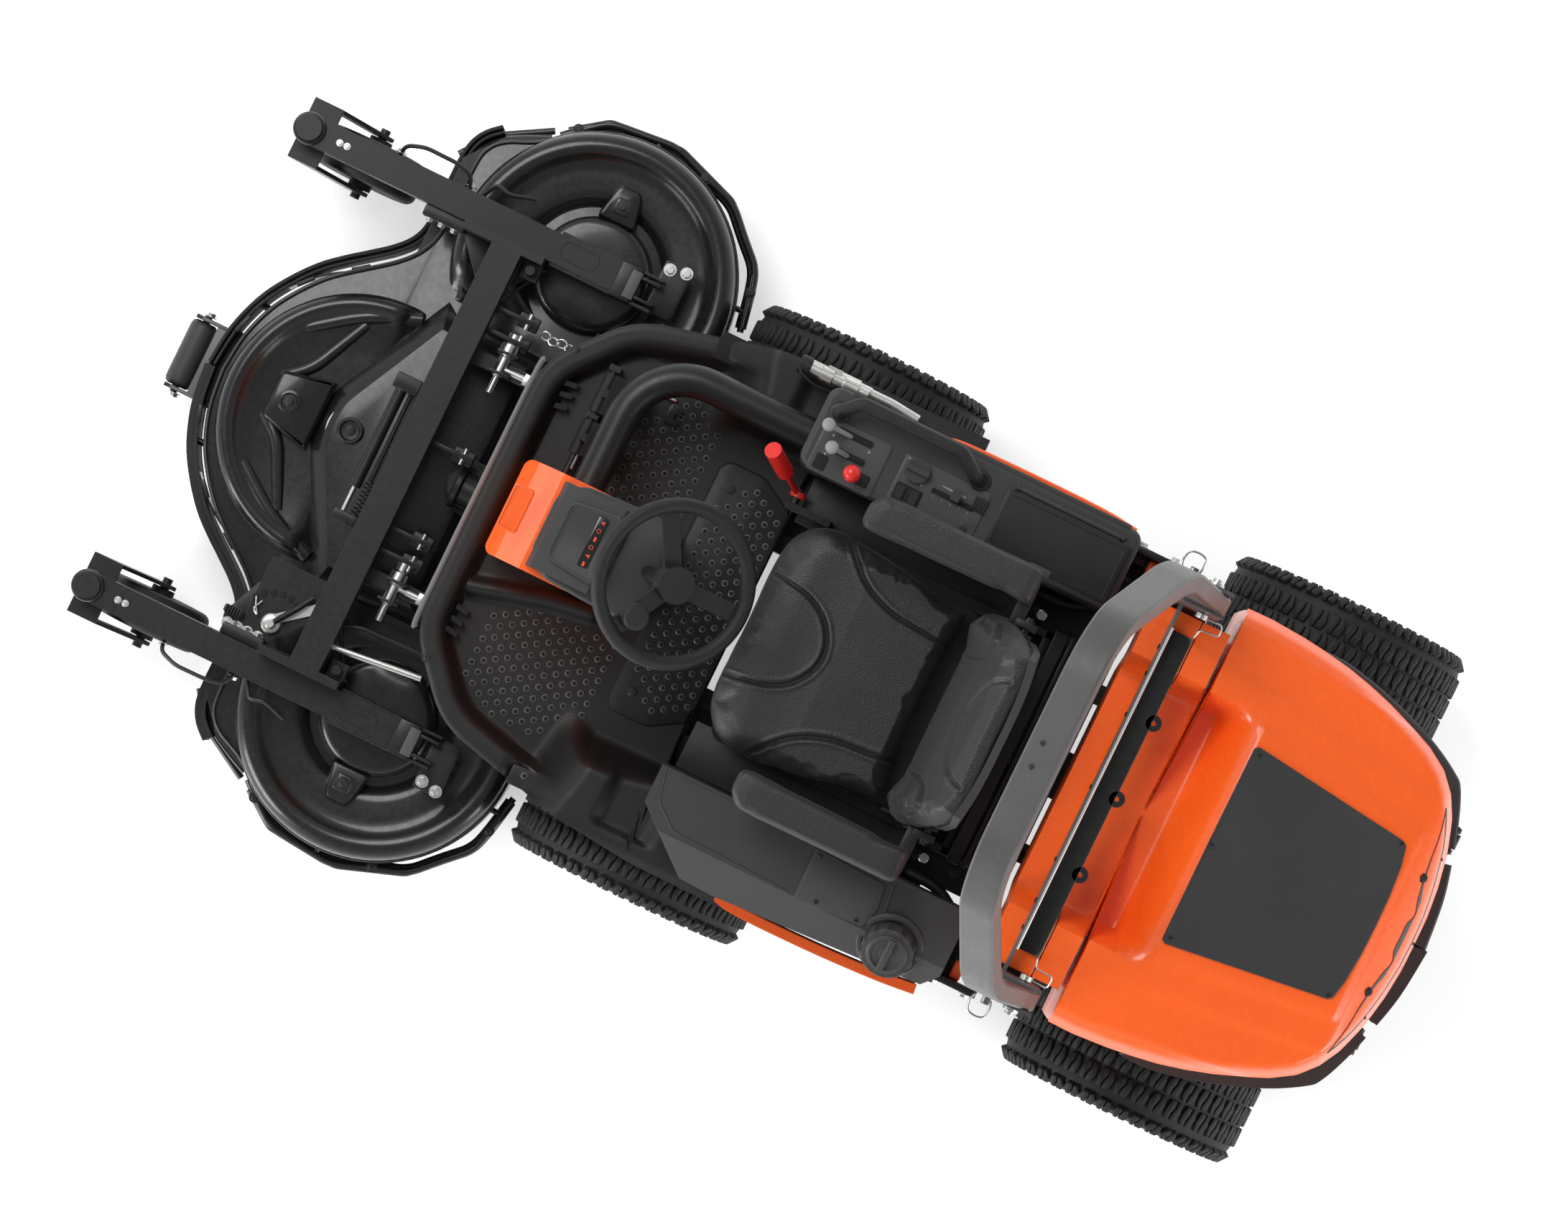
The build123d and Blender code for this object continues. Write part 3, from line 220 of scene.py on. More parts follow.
def painted(name, colour, rough, grain=900, depth=0.12, edge=0.0022, wear_and_sheen=1.9, coat=0.0, cloud=7, variation=0.14):
    """Paint or powder coat: cloudy tone, orange peel, and rounded edges in a lighter colour, partly wear where the coat
    is thin and partly a painted highlight.
    """
    f = Finish(name)
    big = f.noise(cloud, 4)
    peel = f.noise(grain, 2)
    fine = f.noise(cloud * 12, 5, 0.6)
    body = f.mix(f.spread(big, 0, 1), tone(colour, 1 - variation), tone(colour, 1 + variation))
    dusty = f.mix(f.spread(fine, 0, 0.35, 0.5, 0.75), body, tone(colour, 1.35))
    rounded, mask = f.edges(edge)
    # The edge mask lightens the colour at the edges: partly wear where the coat is thin, partly a painted highlight.
    pale_marks = f.add("ShaderNodeMath", operation="MULTIPLY")
    f.link(mask, pale_marks.inputs[0])
    f.link(f.spread(fine, 0.35, 1, 0.35, 0.6), pale_marks.inputs[1])
    f.colour(f.mix(pale_marks.outputs[0], dusty, tone(colour, wear_and_sheen)))
    f.roughness(f.spread(fine, rough - 0.06, rough + 0.08))
    f.normal(f.bump(peel, depth, 0.0006, rounded))
    f.set(coat=coat, coat_rough=0.12, spec=0.38)
    return f.material


def moulded(name, colour, rough, grain=1500, depth=0.35, edge=0.0018, scuff=1.5):
    """Moulded plastic with a fine etched grain, pale scuffs, and softened edges lightened in colour as a painted
    highlight.
    """
    f = Finish(name)
    big = f.noise(5, 4)
    etch = f.cells(grain, "SMOOTH_F1")
    scuffs = f.noise(60, 6, 0.7, (1, 4, 1))
    body = f.mix(f.spread(big, 0, 1), tone(colour, 0.9), tone(colour, 1.1))
    pale_marks = f.mix(f.spread(scuffs, 0, 0.3, 0.58, 0.75), body, tone(colour, scuff))
    rounded, mask = f.edges(edge)
    # The edge mask lightens the colour: a painted highlight along the edges.
    f.colour(f.mix(f.spread(mask, 0, 0.6, 0, 1), pale_marks, tone(colour, 1.7)))
    f.roughness(f.spread(scuffs, rough - 0.07, rough + 0.07))
    f.normal(f.bump(etch, depth, 0.0004, rounded))
    f.set(spec=0.35)
    return f.material


def metal(name, colour, rough, grain=500, stretch=None, depth=0.15, stain=0.8, edge=0.001):
    """Plated or bare metal with brushing, faint stains and rounded edges."""
    f = Finish(name)
    stains = f.noise(25, 5, 0.6)
    lines = f.noise(grain, 3, 0.5, stretch)
    f.colour(f.mix(f.spread(stains, 0, 1, 0.4, 0.7), colour, tone(colour, stain)))
    f.roughness(f.spread(stains, rough - 0.05, rough + 0.12))
    rounded, _ = f.edges(edge)
    f.normal(f.bump(lines, depth, 0.0004, rounded))
    f.set(metal=1.0)
    return f.material


def rubber(name, colour, rough, grain=700, depth=0.4, dust=2.2):
    """Rubber with a fine mottle, a dusty film and no sharp gloss."""
    f = Finish(name)
    big = f.noise(9, 5)
    mottle = f.noise(grain, 4, 0.6)
    film = f.noise(40, 6, 0.65)
    body = f.mix(f.spread(big, 0, 1), tone(colour, 0.8), tone(colour, 1.2))
    f.colour(f.mix(f.spread(film, 0, 0.3, 0.5, 0.8), body, tone(colour, dust)))
    f.roughness(f.spread(mottle, rough - 0.08, rough + 0.08))
    rounded, _ = f.edges(0.0015)
    f.normal(f.bump(mottle, depth, 0.0008, rounded))
    f.set(spec=0.35)
    return f.material


def vinyl(name, colour):
    """Black seat vinyl with a pebbled leather grain, pores and a worn sheen."""
    f = Finish(name)
    pebbles = f.cells(420, "F1")
    pores = f.noise(1600, 2)
    wear_and_sheen = f.noise(8, 4)
    creases = f.noise(35, 6, 0.7)
    body = f.mix(f.spread(wear_and_sheen, 0, 1), tone(colour, 0.85), tone(colour, 1.25))
    f.colour(f.mix(f.spread(pebbles, 0.4, 0, 0.05, 0.5), body, tone(colour, 0.7)))
    f.roughness(f.spread(wear_and_sheen, 0.5, 0.38))
    wrinkle = f.bump(creases, 0.1, 0.004)
    grain = f.bump(pebbles, 0.45, 0.0012, wrinkle)
    f.normal(f.bump(pores, 0.2, 0.0004, grain))
    f.set(sheen=0.08)
    return f.material


# On the black coats the edge lightening of 7 is mostly a painted highlight.
BLACK_COAT = painted("black_powder_coat", (0.011, 0.011, 0.0115), 0.36, wear_and_sheen=7.0)
DECK_COAT = painted("deck_enamel", (0.009, 0.009, 0.0095), 0.29, grain=500, depth=0.1, wear_and_sheen=7.0, coat=0.35)
HOOP_COAT = painted("hoop_grey_coat", (0.078, 0.078, 0.077), 0.42, wear_and_sheen=1.7)
HOOD_COAT = painted("hood_orange_gloss", (0.93, 0.118, 0.012), 0.26, grain=240, depth=0.012, wear_and_sheen=1.1, coat=0.4,
    variation=0.02)
ORANGE_TRIM = painted("orange_trim", (0.90, 0.115, 0.014), 0.32, grain=400, depth=0.08, wear_and_sheen=1.2, coat=0.2,
    variation=0.06)
RED_MOULDED = painted("red_control_knob", (0.72, 0.020, 0.014), 0.30, grain=500, depth=0.06, wear_and_sheen=1.3, coat=0.3,
    variation=0.08)
DARK_MOULDED = moulded("dark_grey_moulding", (0.036, 0.036, 0.037), 0.46)
FLOOR_MOULDED = moulded("floor_moulding", (0.0105, 0.0105, 0.011), 0.42, depth=0.45, scuff=2.0)
PANEL_MOULDED = moulded("control_panel_grey", (0.034, 0.034, 0.035), 0.44, depth=0.25)
PALE_MOULDED = moulded("pale_grey_moulding", (0.25, 0.25, 0.25), 0.40, depth=0.25, scuff=1.2)
GRIP_RUBBER = rubber("grip_rubber_black", (0.010, 0.010, 0.010), 0.55, depth=0.5)
TYRE_RUBBER = rubber("tyre_black", (0.011, 0.011, 0.011), 0.62, grain=500, depth=0.5, dust=2.4)
SEAT_VINYL = vinyl("seat_vinyl_black", (0.014, 0.014, 0.0145))
ZINC = metal("zinc_plate", (0.66, 0.66, 0.64), 0.28)
CAST = metal("cast_casing", (0.16, 0.16, 0.16), 0.52, grain=180, depth=0.5)
HOLE_DARK = moulded("deep_shadow_black", (0.006, 0.006, 0.006), 0.7)

NODE_FINISH = {
    "main_frame": BLACK_COAT, "seat_base": BLACK_COAT, "platform": FLOOR_MOULDED, "floor_lid": FLOOR_MOULDED,
    "column_support": BLACK_COAT, "column_shroud": ORANGE_TRIM, "dash_panel": PANEL_MOULDED,
    "right_console": DARK_MOULDED, "grab_handle": GRIP_RUBBER, "fuel_tank": DARK_MOULDED,
    "side_panels": ORANGE_TRIM, "rops_base": HOOP_COAT, "engine": CAST, "battery": DARK_MOULDED,
    "hydraulic_couplings": ZINC, "bogie_frame": BLACK_COAT, "rear_axle": BLACK_COAT, "lift_frame": BLACK_COAT,
    "caster_arms": BLACK_COAT, "height_lever": ZINC, "deck_shell": DECK_COAT, "belt_covers": DECK_COAT,
    "deck_drive": BLACK_COAT, "drive_belt": GRIP_RUBBER, "guard_rail": DECK_COAT, "blade_left": ZINC,
    "blade_middle": ZINC, "blade_right": ZINC, "front_roller": DARK_MOULDED, "caster_fork_left": BLACK_COAT,
    "caster_fork_right": BLACK_COAT, "caster_wheel_left": TYRE_RUBBER, "caster_wheel_right": TYRE_RUBBER,
    "front_left_wheel": TYRE_RUBBER, "front_right_wheel": TYRE_RUBBER, "rear_left_wheel": TYRE_RUBBER,
    "rear_right_wheel": TYRE_RUBBER, "steering_wheel": GRIP_RUBBER, "spinner_knob": GRIP_RUBBER,
    "forward_pedal": GRIP_RUBBER, "reverse_pedal": GRIP_RUBBER, "aux_lever_outer": PALE_MOULDED,
    "aux_lever_inner": PALE_MOULDED, "lift_lever": RED_MOULDED, "throttle_lever": DARK_MOULDED,
    "key_knob": DARK_MOULDED, "rocker_front": GRIP_RUBBER, "rocker_rear": GRIP_RUBBER,
    "brake_lever": RED_MOULDED, "console_lid": DARK_MOULDED, "fuel_cap": DARK_MOULDED, "seat_pan": BLACK_COAT,
    "seat_cushion": SEAT_VINYL, "seat_back": SEAT_VINYL, "armrest_left": SEAT_VINYL, "armrest_right": SEAT_VINYL,
    "rops_hoop": HOOP_COAT, "hood": HOOD_COAT, "hood_plate": DARK_MOULDED, "rear_bumper": DARK_MOULDED,
}
for node_name, finish in NODE_FINISH.items():
    mesh = nodes[node_name].data
    mesh.materials.clear()
    mesh.materials.append(finish)

# ---------------------------------------------------------------- floor


def studio_floor():
    mesh = bpy.data.meshes.new("studio_floor")
    half = 30
    mesh.from_pydata([(-half, -half, 0), (half, -half, 0), (half, half, 0), (-half, half, 0)], [], [(0, 1, 2, 3)])
    floor = bpy.data.objects.new("studio_floor", mesh)
    bpy.context.collection.objects.link(floor)
    f = Finish("pale_floor")
    cloudy = f.noise(0.7, 3)
    f.colour(f.mix(f.spread(cloudy, 0, 1), (0.86, 0.86, 0.86), (0.9, 0.9, 0.9)))
    f.set(rough=0.85, spec=0.1)
    f.shader.inputs["Emission Color"].default_value = (1, 1, 1, 1)
    f.shader.inputs["Emission Strength"].default_value = 0.45
    mesh.materials.append(f.material)


studio_floor()

# ---------------------------------------------------------------- pieces: tools for making meshes


def make_piece(name, points, faces, finish, body, smooth=35):
    """A mesh piece from drawing points, with outward normals, that moves with the named body."""
    mesh = bpy.data.meshes.new(name)
    mesh.from_pydata([at(*point) for point in points], [], faces)
    return finish_piece(name, mesh, finish, body, smooth)


def finish_piece(name, mesh, finish, body, smooth=35):
    work = bmesh.new()
    work.from_mesh(mesh)
    bmesh.ops.remove_doubles(work, verts=work.verts, dist=0.00001)
    bmesh.ops.recalc_face_normals(work, faces=work.faces)
    for face in work.faces:
        face.smooth = True
    for edge in work.edges:
        if len(edge.link_faces) == 2 and edge.calc_face_angle() > math.radians(smooth):
            edge.smooth = False
    work.to_mesh(mesh)
    work.free()
    mesh.materials.clear()
    mesh.materials.append(finish)
    thing = bpy.data.objects.new(name, mesh)
    bpy.context.collection.objects.link(thing)
    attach(thing, body)
    return thing


class Form:
    """Points and faces in drawing millimetres, gathered from several simple shapes."""

    def __init__(self):
        self.points = []
        self.faces = []

    def add(self, points, faces):
        start = len(self.points)
        self.points += [tuple(point) for point in points]
        self.faces += [tuple(start + i for i in face) for face in faces]
        return self

    def rings(self, rings, closed=True, caps=(True, True)):
        """Skin a run of equal rings of points."""
        count = len(rings[0])
        faces = []
        for r in range(len(rings) - 1):
            for i in range(count if closed else count - 1):
                j = (i + 1) % count
                faces.append((r * count + i, r * count + j, (r + 1) * count + j, (r + 1) * count + i))
        points = [point for ring in rings for point in ring]
        for ring_at, wanted in ((0, caps[0]), (len(rings) - 1, caps[1])):
            if wanted:
                start = ring_at * count
                for tri in tessellate_polygon([[Vector(p) for p in rings[ring_at]]]):
                    faces.append(tuple(start + i for i in tri))
        return self.add(points, faces)

    def slab(self, outline, low, high, chamfer=1.5):
        """A flat plate with softened edges: outline in plan, from one height to the other."""
        steps = [(chamfer, low), (0, low + chamfer), (0, high - chamfer), (chamfer * 0.3, high - chamfer * 0.3),
                 (chamfer, high)]
        return self.rings([[(x, y, z) for x, y in inset(outline, d)] for d, z in steps])

    def turned(self, centre, profile, sides=32, axis="z", closed=False):
        """A turned shape: profile of (radius, height) pairs round an axis through the centre."""
        rings = []
        for radius, height in profile:
            ring = []
            for i in range(sides):
                a = math.tau * i / sides
                ring.append(turn_to(axis, radius * math.cos(a), radius * math.sin(a), height, centre))
            rings.append(ring)
        if closed:
            rings.append(rings[0])
        return self.rings(rings, caps=(not closed, not closed))

    def tube(self, path, radius, sides=12, corner=0, flat=1.0):
        """A bar or tube of one radius along points, its corners bent with the given radius."""
        line = [Vector(p) for p in path]
        if corner:
            line = bend_corners(line, corner)
        rings = []
        side = None
        for i, point in enumerate(line):
            ahead = (line[min(i + 1, len(line) - 1)] - line[max(i - 1, 0)]).normalized()
            if side is None:
                side = ahead.orthogonal().normalized()
            side = (side - ahead * side.dot(ahead)).normalized()
            other = ahead.cross(side)
            rings.append([point + (side * math.cos(math.tau * k / sides) +
                                   other * math.sin(math.tau * k / sides) * flat) * radius for k in range(sides)])
        return self.rings(rings)


def turn_to(axis, u, v, w, centre):
    x, y, z = {"z": (u, v, w), "x": (w, u, v), "y": (u, w, v)}[axis]
    return (centre[0] + x, centre[1] + y, centre[2] + z)


def inset(outline, distance):
    """The outline moved inwards by a distance, corner by corner."""
    if not distance:
        return list(outline)
    area = sum(a[0] * b[1] - b[0] * a[1] for a, b in zip(outline, outline[1:] + outline[:1]))
    sign = 1 if area > 0 else -1
    moved = []
    for i, (x, y) in enumerate(outline):
        before = Vector(outline[i - 1])
        here = Vector((x, y))
        after = Vector(outline[(i + 1) % len(outline)])
        first = (here - before).normalized()
        second = (after - here).normalized()
        n1 = Vector((-first.y, first.x)) * sign
        n2 = Vector((-second.y, second.x)) * sign
        middle = n1 + n2
        if middle.length < 0.2:
            middle = n1
        middle = middle.normalized()
        moved.append(tuple(here + middle * distance / max(0.35, middle.dot(n1))))
    return moved


def rounded(outline, radius, steps=5):
    """The outline with its corners rounded; radius may be one value or one per corner."""
    result = []
    count = len(outline)
    for i in range(count):
        here = Vector(outline[i])
        before = Vector(outline[i - 1]) - here
        after = Vector(outline[(i + 1) % count]) - here
        r = radius[i] if isinstance(radius, (list, tuple)) else radius
        reach = min(r, before.length * 0.48, after.length * 0.48)
        start, end = here + before.normalized() * reach, here + after.normalized() * reach
        for k in range(steps + 1):
            t = k / steps
            result.append(tuple(start * (1 - t) ** 2 + here * 2 * t * (1 - t) + end * t * t))
    return result


def bend_corners(line, radius, steps=6):
    result = [line[0]]
    for before, here, after in zip(line, line[1:], line[2:]):
        back, on = before - here, after - here
        reach = min(radius, back.length * 0.48, on.length * 0.48)
        start, end = here + back.normalized() * reach, here + on.normalized() * reach
        for k in range(steps + 1):
            t = k / steps
            result.append(start * (1 - t) ** 2 + here * 2 * t * (1 - t) + end * t * t)
    result.append(line[-1])
    return result


def box_outline(x0, x1, y0, y1):
    return [(x0, y0), (x1, y0), (x1, y1), (x0, y1)]


def show(name, form, finish, body, smooth=35):
    return make_piece(name, form.points, form.faces, finish, body, smooth)


# ---------------------------------------------------------------- repeated parts, made with geometry nodes


class Tree:
    """A geometry node tree with named inputs, used once and then applied."""

    def __init__(self, name, inputs):
        self.group = bpy.data.node_groups.new(name, "GeometryNodeTree")
        face = self.group.interface
        face.new_socket("Geometry", in_out="INPUT", socket_type="NodeSocketGeometry")
        face.new_socket("Geometry", in_out="OUTPUT", socket_type="NodeSocketGeometry")
        self.ids = {}
        for label, kind, value in inputs:
            socket = face.new_socket(label, in_out="INPUT", socket_type=kind)
            socket.default_value = value
            self.ids[label] = socket.identifier
        self.start = self.add("NodeGroupInput")
        self.end = self.add("NodeGroupOutput")

    def add(self, kind, **settings):
        node = self.group.nodes.new(kind)
        for key, value in settings.items():
            setattr(node, key, value)
        return node

    def link(self, start, end):
        self.group.links.new(start, end)

    def close(self, instances, finish):
        """Ends the tree: real geometry in one finish."""
        real = self.add("GeometryNodeRealizeInstances")
        paint = self.add("GeometryNodeSetMaterial")
        paint.inputs["Material"].default_value = finish
        self.finish = finish
        self.link(instances, real.inputs[0])
        self.link(real.outputs[0], paint.inputs["Geometry"])
        self.link(paint.outputs["Geometry"], self.end.inputs[0])

    def grow(self, name, seed_mesh, body, values=None, smooth=35, slot=None):
        """Runs the tree on a mesh of points and keeps the plain mesh that comes out."""
        holder = bpy.data.objects.new(name + "_seed", seed_mesh)
        bpy.context.collection.objects.link(holder)
        modifier = holder.modifiers.new("grow", "NODES")
        modifier.node_group = self.group
        for label, value in (values or {}).items():
            modifier[self.ids[label]] = value
        result = bpy.data.meshes.new_from_object(
            holder.evaluated_get(bpy.context.evaluated_depsgraph_get()))
        holder.modifiers.clear()
        bpy.data.objects.remove(holder)
        return finish_piece(name, result, self.finish, body, smooth)


def seed_points(spots):
    """A mesh of loose points. Each spot is (place, direction, size) in drawing millimetres."""
    mesh = bpy.data.meshes.new("spots")
    mesh.from_pydata([at(*place) for place, _, _ in spots], [], [])
    mesh.attributes.new("aim", "FLOAT_VECTOR", "POINT")
    mesh.attributes.new("size", "FLOAT", "POINT")
    for i, (_, direction, width) in enumerate(spots):
        mesh.attributes["aim"].data[i].vector = direction
        mesh.attributes["size"].data[i].value = width / 1000
    return mesh


def stacked(name, layers, finish):
    """A tree that stands a stack of discs on each spot. Each layer is (radius, thickness, sides) for size 1,
    from the surface up; a negative thickness starts the next layer lower."""
    tree = Tree(name, [("Sides scale", "NodeSocketFloat", 1.0)])
    join = tree.add("GeometryNodeJoinGeometry")
    height = 0.0
    for radius, thickness, sides in layers:
        disc = tree.add("GeometryNodeMeshCylinder")
        disc.inputs["Vertices"].default_value = sides
        disc.inputs["Radius"].default_value = radius
        disc.inputs["Depth"].default_value = abs(thickness)
        move = tree.add("GeometryNodeTransform")
        move.inputs["Translation"].default_value = (0, 0, height + thickness / 2)
        tree.link(disc.outputs["Mesh"], move.inputs["Geometry"])
        tree.link(move.outputs["Geometry"], join.inputs["Geometry"])
        height += thickness
    place = tree.add("GeometryNodeInstanceOnPoints")
    aim = tree.add("GeometryNodeInputNamedAttribute", data_type="FLOAT_VECTOR")
    aim.inputs["Name"].default_value = "aim"
    size = tree.add("GeometryNodeInputNamedAttribute", data_type="FLOAT")
    size.inputs["Name"].default_value = "size"
    turn = tree.add("FunctionNodeAlignRotationToVector", axis="Z")
    wide = tree.add("ShaderNodeMath", operation="MULTIPLY")
    tree.link(size.outputs["Attribute"], wide.inputs[0])
    tree.link(tree.start.outputs["Sides scale"], wide.inputs[1])
    tree.link(aim.outputs["Attribute"], turn.inputs["Vector"])
    tree.link(tree.start.outputs["Geometry"], place.inputs["Points"])
    tree.link(join.outputs["Geometry"], place.inputs["Instance"])
    tree.link(turn.outputs["Rotation"], place.inputs["Rotation"])
    tree.link(wide.outputs[0], place.inputs["Scale"])
    tree.close(place.outputs["Instances"], finish)
    return tree


UP = (0, 0, 1)
HEX_BOLTS = stacked("hex_bolts", [(1.45, 0.18, 20), (1.0, 0.7, 6), (0.8, 0.1, 12)], ZINC)
DARK_BOLTS = stacked("dark_bolts", [(1.5, 0.18, 20), (1.0, 0.6, 6), (0.75, 0.12, 12)], BLACK_COAT)
PAN_SCREWS = stacked("pan_screws", [(1.0, 0.18, 20), (0.85, 0.14, 20), (0.4, 0.03, 6)], BLACK_COAT)
HOLE_COLLARS = stacked("hole_collars", [(1.0, 0.14, 14), (0.86, 0.08, 14)], CAST)
# Dark discs put in holes: painted shade.
HOLE_DARKS = stacked("hole_darks", [(1.0, 0.36, 12)], HOLE_DARK)


def bolts(name, tree, spots, body, slot=None):
    return tree.grow(name, seed_points(spots), body, smooth=30, slot=slot)


def smooth_line(points, steps=6, closed=False):
    """A smooth run through the given points."""
    result = []
    count = len(points)
    last = count if closed else count - 1
    for i in range(last):
        p0 = Vector(points[i - 1] if i or closed else points[0])
        p1 = Vector(points[i])
        p2 = Vector(points[(i + 1) % count])
        p3 = Vector(points[(i + 2) % count] if closed or i + 2 < count else points[-1])
        for k in range(steps):
            t = k / steps
            result.append(tuple(0.5 * (2 * p1 + (p2 - p0) * t + (2 * p0 - 5 * p1 + 4 * p2 - p3) * t * t +
                                       (3 * p1 - p0 - 3 * p2 + p3) * t ** 3)))
    if not closed:
        result.append(tuple(points[-1]))
    return result


def offset_line(line, distance):
    """An open line in plan moved sideways, to the left of its direction."""
    moved = []
    for i, point in enumerate(line):
        ahead = Vector(line[min(i + 1, len(line) - 1)]) - Vector(line[max(i - 1, 0)])
        ahead.normalize()
        moved.append((point[0] - ahead.y * distance, point[1] + ahead.x * distance))
    return moved


def strip(form, line, near, far, low, high, chamfer=1.2):
    """A long bar of rectangular section beside a line in plan."""
    c = chamfer
    section = [(near, low + c), (near, high - c), (near + c, high), (far - c, high), (far, high - c), (far,
        low + c),
               (far - c, low), (near + c, low)]
    sides = [[(*p, z) for p in offset_line(line, d)] for d, z in section]
    return form.rings([[side[i] for side in sides] for i in range(len(line))])


# ---------------------------------------------------------------- wheels

TYRE_R = 252
RIM_R = 128
AXLES = {"front": (-50, 487.5, 102.5), "rear": (1016, 428, 125)}


def tread_tree():
    """Rows of the block that is given, set round a tyre; every other row is half a block further on."""
    tree = Tree("tread_rows", [("Around", "NodeSocketInt", 42), ("Rows", "NodeSocketInt", 4),
                               ("Row pitch", "NodeSocketFloat", 0.045), ("Radius", "NodeSocketFloat", 0.244),
                               ("Centre", "NodeSocketVector", (0, 0, 0)), ("Stagger", "NodeSocketFloat", 0.5)])
    start = tree.start.outputs

    def sum_of(operation, first, second):
        node = tree.add("ShaderNodeMath", operation=operation)
        for socket, value in zip(node.inputs, (first, second)):
            if isinstance(value, (int, float)):
                socket.default_value = value
            elif value is not None:
                tree.link(value, socket)
        return node.outputs[0]

    index = tree.add("GeometryNodeInputIndex").outputs[0]
    count = sum_of("MULTIPLY", start["Around"], start["Rows"])
    row = sum_of("FLOOR", sum_of("DIVIDE", sum_of("ADD", index, 0.5), start["Around"]), None)
    along = sum_of("MODULO", index, start["Around"])
    stagger = sum_of("MULTIPLY", sum_of("MODULO", row, 2), start["Stagger"])
    angle = sum_of("MULTIPLY", sum_of("DIVIDE", sum_of("ADD", along, stagger), start["Around"]), math.tau)
    across = sum_of("MULTIPLY", sum_of("SUBTRACT", row, sum_of("MULTIPLY", sum_of("SUBTRACT", start["Rows"], 1),
        0.5)),
                    start["Row pitch"])
    place = tree.add("ShaderNodeCombineXYZ")
    tree.link(across, place.inputs[0])
    tree.link(sum_of("MULTIPLY", sum_of("SINE", angle, None), start["Radius"]), place.inputs[1])
    tree.link(sum_of("MULTIPLY", sum_of("COSINE", angle, None), start["Radius"]), place.inputs[2])
    shifted = tree.add("ShaderNodeVectorMath", operation="ADD")
    tree.link(place.outputs[0], shifted.inputs[0])
    tree.link(start["Centre"], shifted.inputs[1])
    turn = tree.add("ShaderNodeCombineXYZ")
    tree.link(sum_of("MULTIPLY", angle, -1), turn.inputs[0])
    points = tree.add("GeometryNodePoints")
    tree.link(count, points.inputs["Count"])
    tree.link(shifted.outputs[0], points.inputs["Position"])
    copies = tree.add("GeometryNodeInstanceOnPoints")
    tree.link(points.outputs[0], copies.inputs["Points"])
    tree.link(start["Geometry"], copies.inputs["Instance"])
    tree.link(turn.outputs[0], copies.inputs["Rotation"])
    tree.close(copies.outputs["Instances"], TYRE_RUBBER)
    return tree


TREAD = tread_tree()


def tread_block(width, length, height, lean=0):
    """Two halves of a six-sided block with an S-shaped slit between them."""
    w, n = width / 2, length / 2
    halves = [[(-w, -n * 0.72), (0, -n), (w, -n * 0.72), (w, -3.4), (w * 0.35, -3.4), (-w * 0.3, 0.9), (-w, 0.9)],
              [(-w, 3.4), (-w * 0.25, 3.4), (w * 0.4, -0.9), (w, -0.9), (w, n * 0.72), (0, n), (-w, n * 0.72)]]
    form = Form()
    for half in halves:
        form.rings([[(x, y, z) for x, y in inset(half, d)] for d, z in ((0, -4), (0.3, height - 1), (1.3, height))],
                   caps=(False, True))
    tilt = Matrix.Rotation(math.radians(lean), 3, "Y")
    mesh = bpy.data.meshes.new("block")
    mesh.from_pydata([tilt @ Vector(p) / 1000 for p in form.points], [], form.faces)
    return mesh


